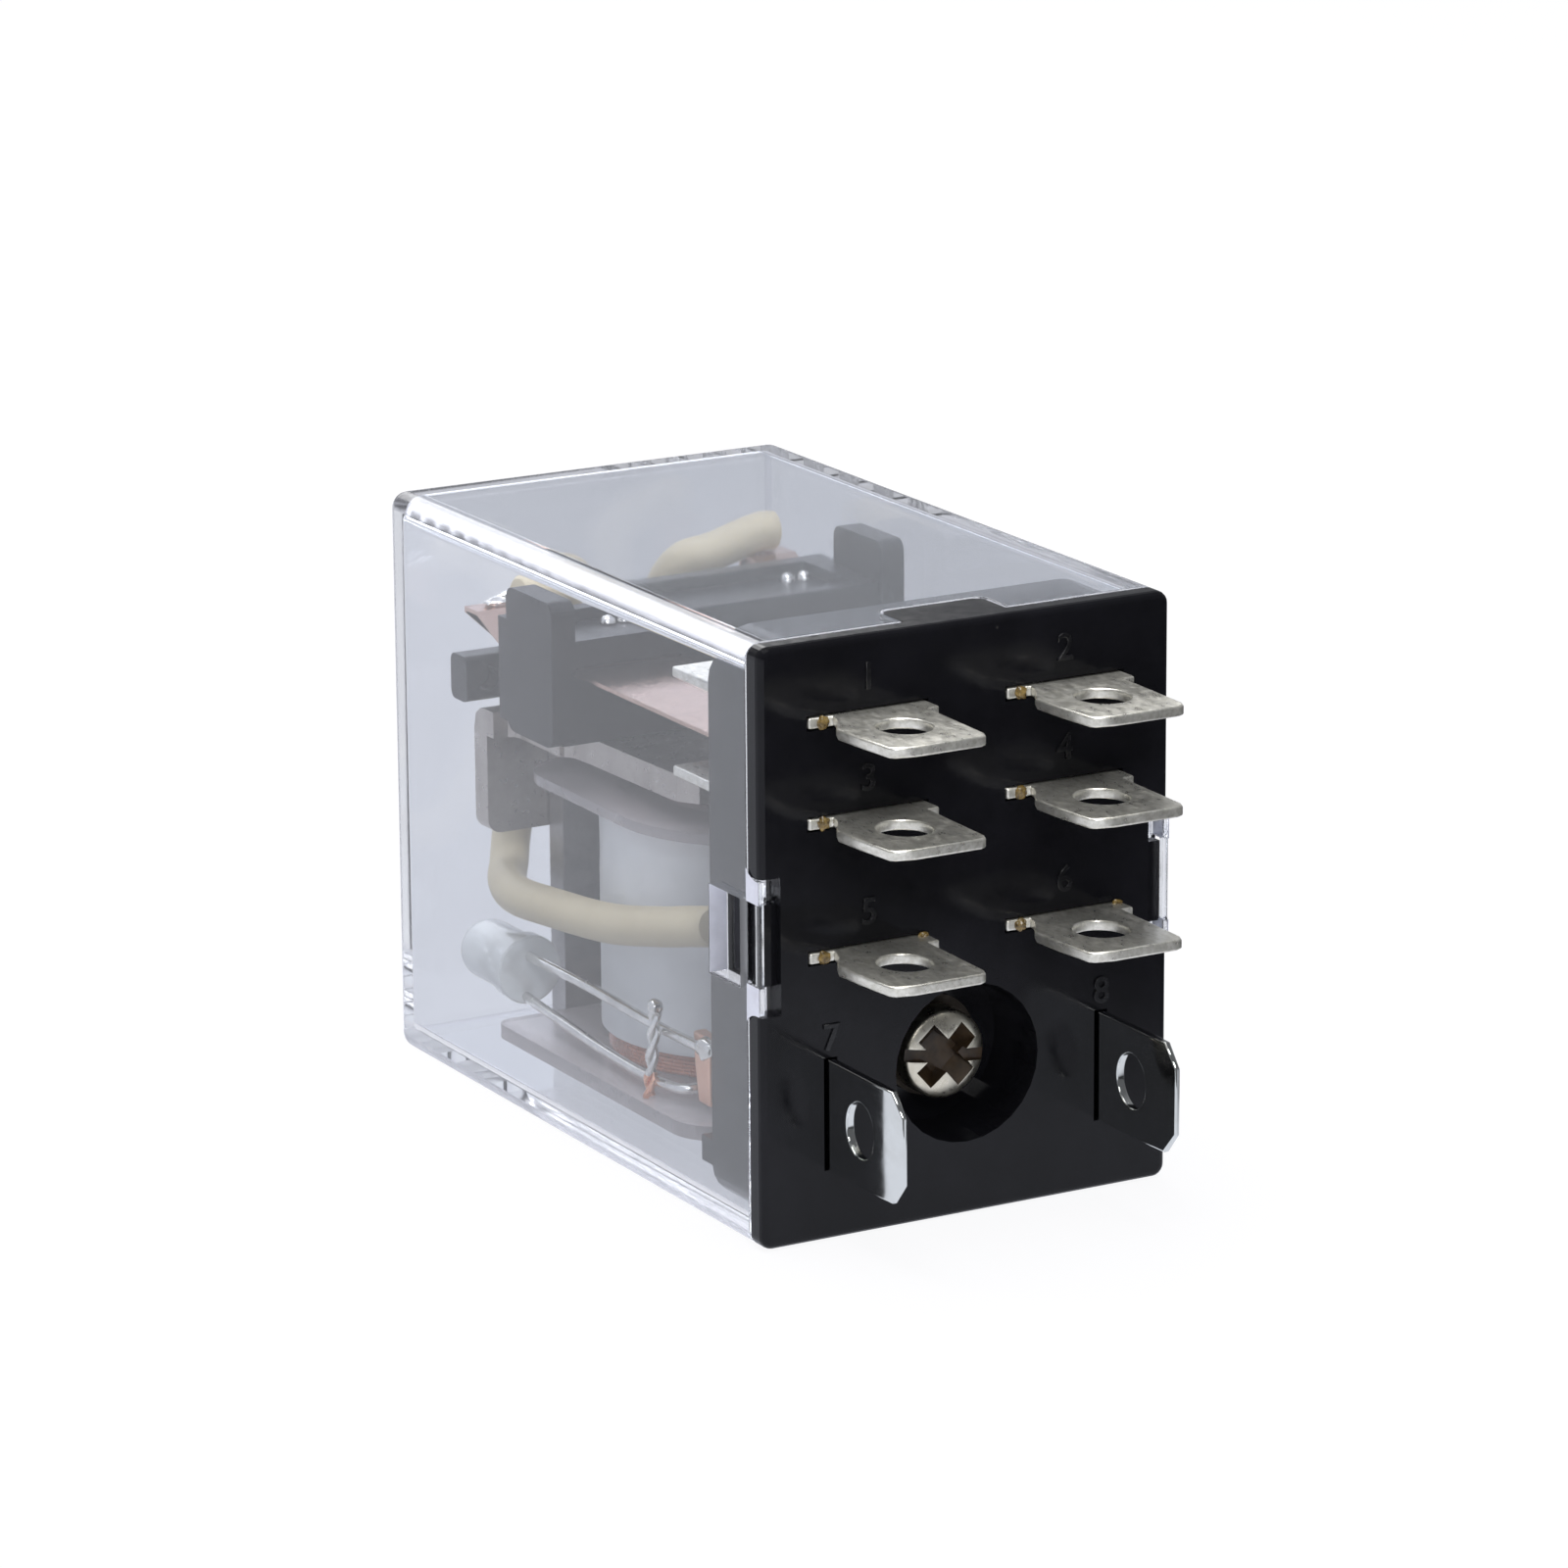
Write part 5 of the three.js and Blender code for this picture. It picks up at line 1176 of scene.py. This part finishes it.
def mirrored_outline(*halves):
    return [*((-x, y) for x, y in halves[:1]), *halves, *((-x, y) for x, y in reversed(halves[1:]))]


drive_half, floor_half = DRIVE_LENGTH / 2, DRIVE_FLOOR / 2
drive = mirrored_outline((drive_half, -OVERRUN), (drive_half, DRIVE_LIP), (floor_half, DRIVE_DEPTH))
slot = mirrored_outline((HEAD_RADIUS * 2, -OVERRUN), (HEAD_RADIUS * 2, SLOT_DEPTH))
# The cutters hand their dark brown finish to the faces that they cut: painted shade in the drive.
cutters = []
for turn, outline, width in (
    (DRIVE_TURN, drive, DRIVE_WIDTH), (DRIVE_TURN + math.pi / 2, drive, DRIVE_WIDTH),
    (SLOT_TURN, slot, SLOT_WIDTH),
):
    name = f"drive_{len(cutters) + 1}"
    cutter = prism_piece(name, outline, "z", -width / 2, width / 2, "painted recess shade", None)
    cutter.data.transform(Matrix.Rotation(turn, 4, "Y"))
    cutter.data.transform(Matrix.Translation(Vector((0, HEAD_FACE, SCREW_ROW)) * MM))
    cutters.append(cutter)
finish_piece(screw, (), cutters, SCREW_ROUNDING, 3, 35)
stand_in(screw, "yoke_screw")
print("screw faces", len(screw.data.polygons))

# %% [markdown]
# Amber resin shows where each contact blade was sealed into the base: a drop at every blade's stub, and one
# on the shoulder of the two common blades.

# %% Resin at the blades
STUB_SHARE = 0.385
SHOULDER_RESIN_SHARE = 0.455
for i, node in enumerate(CONTACT_BLADES):
    low, high, column, row = place_of(node)
    width = high[0] - low[0]
    stub = (column - STUB_SHARE * width, -0.12, row)
    lump_piece(f"resin_stub_{i + 1}", stub, (0.3, 0.2, 0.31), "resin", 0.35, i * 3.1)
    if node.startswith("com_"):
        shoulder = (column + SHOULDER_RESIN_SHARE * width, -0.1, row + 0.26)
        lump_piece(f"resin_shoulder_{i + 1}", shoulder, (0.26, 0.18, 0.15), "resin", 0.4, i * 2.3 + 1)
print("resin at", len(CONTACT_BLADES), "blades")

# %% [markdown]
# The mould raises a number above each blade, 1 to 8, as every socket and base of this kind has them. Each
# is a text curve with a small bevel, turned into a mesh.

# %% Numbers on the base
NUMBER_HEIGHT = 1.25
LETTER_SCALE = 1.4
NUMBER_RAISE = 0.08
NUMBER_BEVEL = 0.025
NUMBER_ABOVE_ROW = 1.75
NUMBER_ABOVE_COIL_BLADE = 0.95
for i, node in enumerate([*CONTACT_BLADES, *COIL_BLADES]):
    low, high, column, row = place_of(node)
    height = high[2] + NUMBER_ABOVE_COIL_BLADE if node in COIL_BLADES else row + NUMBER_ABOVE_ROW
    letter = bpy.data.curves.new(f"number_{i + 1}", "FONT")
    letter.body = str(i + 1)
    letter.size = NUMBER_HEIGHT * LETTER_SCALE * MM
    letter.align_x = "CENTER"
    letter.align_y = "CENTER"
    letter.extrude = NUMBER_RAISE * MM
    letter.bevel_depth = NUMBER_BEVEL * MM
    letter.bevel_resolution = 1
    letter.materials.append(finishes["number"])
    number = add_object(f"number_{i + 1}", letter)
    number.location = Vector((column, 0, height)) * MM
    number.rotation_euler = (math.pi / 2, 0, 0)
    piece = add_object(f"numeral_{i + 1}", finished_mesh(number))
    piece.matrix_world = number.matrix_world
    bpy.data.objects.remove(number)
    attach(piece, "housing")
print("numbers", len(CONTACT_BLADES) + len(COIL_BLADES))

# %% [markdown]
# Pins of the leaf stacks come through the card and are staked over it, as small bright domes.

# %% Stakes on the card
CARD_STAKES = [(5.5, 26, 0), (6.4, 26, 0), (-3.7, 26, 0), (-2.8, 26, 0)]
CARD_FLOOR = 8.9
STAKE_PROFILE = [(0, 0.32), (0.2, 0.28), (0.34, 0.14), (0.38, -0.05), (0, -0.05)]
profile = [(radius, CARD_FLOOR + rise) for radius, rise in STAKE_PROFILE]
for i, place in enumerate(CARD_STAKES):
    turned_piece(f"card_stake_{i + 1}", profile, "z", place, "solder", "moving_armature", None, 32)
print("stakes", len(CARD_STAKES))


# %% [markdown]
# The stage: a white floor that the camera and the clear cover see as plain white, with a soft shadow. Shiny
# surfaces see it pale, but dark on the relay's right. The front of the base mirrors that side to the
# camera, and so the black base stays black.

# %% Floor
FLOOR_METRES = 6
FLOOR_DROP = 0.02
FLOOR_WHITE = 0.93
FLOOR_BRIGHT_WAY = (-0.95, 0.2, 0)
MIRRORED_METRES = (-0.034, -0.014)
MIRRORED_STRENGTH = (0.04, 0.8)


# Whether a ray is a mirrored one, and whether it comes from the camera, also through something clear.
def ray_kinds(tree):
    path = add_node(tree, "ShaderNodeLightPath").outputs
    direct = calculate(tree, "MAXIMUM", path["Is Camera Ray"], path["Is Transmission Ray"])
    return path["Is Glossy Ray"], direct


bpy.ops.mesh.primitive_plane_add(size=FLOOR_METRES, location=(0, 0, cad_bounds[0][2] - FLOOR_DROP * MM))
floor = bpy.context.object
floor.name = "floor"
made, tree, shader, output = new_material("floor")
set_inputs(tree, shader, {"Base Color": (0.82, 0.82, 0.83, 1), "Roughness": 0.7, "Specular IOR Level": 0.1})
place = add_node(tree, "ShaderNodeTexCoord").outputs["Object"]
slant = add_node(tree, "ShaderNodeVectorMath", {0: place, 1: FLOOR_BRIGHT_WAY}, operation="DOT_PRODUCT")
strength = map_range(tree, slant.outputs["Value"], MIRRORED_METRES, MIRRORED_STRENGTH)
pale = add_node(tree, "ShaderNodeEmission", {"Color": (0.92, 0.95, 1.04, 1), "Strength": strength})
white = add_node(tree, "ShaderNodeEmission", {"Color": (0.99, 0.99, 1, 1), "Strength": 1})
mirrored, direct = ray_kinds(tree)
lit = mix_shaders(tree, mirrored, shader.outputs["BSDF"], pale.outputs["Emission"])
whiteness = calculate(tree, "MULTIPLY", direct, FLOOR_WHITE)
set_inputs(tree, output, {"Surface": mix_shaders(tree, whiteness, lit, white.outputs["Emission"])})
floor.data.materials.append(made)
print("floor at", floor.location.z, "m")


# %% [markdown]
# Soft light: one broad lamp overhead, a weak one in front and a weak one behind, and a pale world. Rays
# from the camera see the world nearly white, and mirrored rays see it dim, dimmer in front than behind.

# %% World
WORLD_COLOUR = (0.935, 0.96, 1.01, 1)
WORLD_LIGHT = 0.6
MIRRORED_WORLD_WAY = (-0.5, 0.5)
MIRRORED_WORLD_STRENGTH = (0.12, 0.27)
world = bpy.data.worlds.new("world")
world.use_nodes = True
bpy.context.scene.world = world
tree = world.node_tree
place = add_node(tree, "ShaderNodeTexCoord").outputs["Generated"]
parts = add_node(tree, "ShaderNodeSeparateXYZ", {0: place})
sweep = map_range(tree, parts.outputs["Y"], MIRRORED_WORLD_WAY, MIRRORED_WORLD_STRENGTH)
mirrored, direct = ray_kinds(tree)
lit = mix_values(tree, "FLOAT", mirrored, WORLD_LIGHT, sweep)
strength = mix_values(tree, "FLOAT", direct, lit, 1)
set_inputs(tree, tree.nodes["Background"], {"Color": WORLD_COLOUR, "Strength": strength})
print("world", world.name)

# %% Lamps
# The place and the size of each lamp in metres, and its power in watts.
AIM_METRES = (0, 0.018, 0)
LIGHTS = {
    "overhead_light": ((-0.05, 0.02, 0.55), (0.5, 0.4), 3.6),
    "front_light": ((-0.22, -0.5, 0.34), (0.16, 0.16), 1.2),
    "rear_light": ((0.1, 0.6, 0.35), (0.5, 0.3), 1.2),
}
for name, (place, size, power) in LIGHTS.items():
    data = bpy.data.lights.new(name, "AREA")
    data.shape = "RECTANGLE"
    data.size, data.size_y = size
    data.energy = power
    lamp = add_object(name, data)
    lamp.location = place
    lamp.rotation_euler = (Vector(AIM_METRES) - Vector(place)).to_track_quat("-Z", "Y").to_euler()
print("lamps", len(LIGHTS))
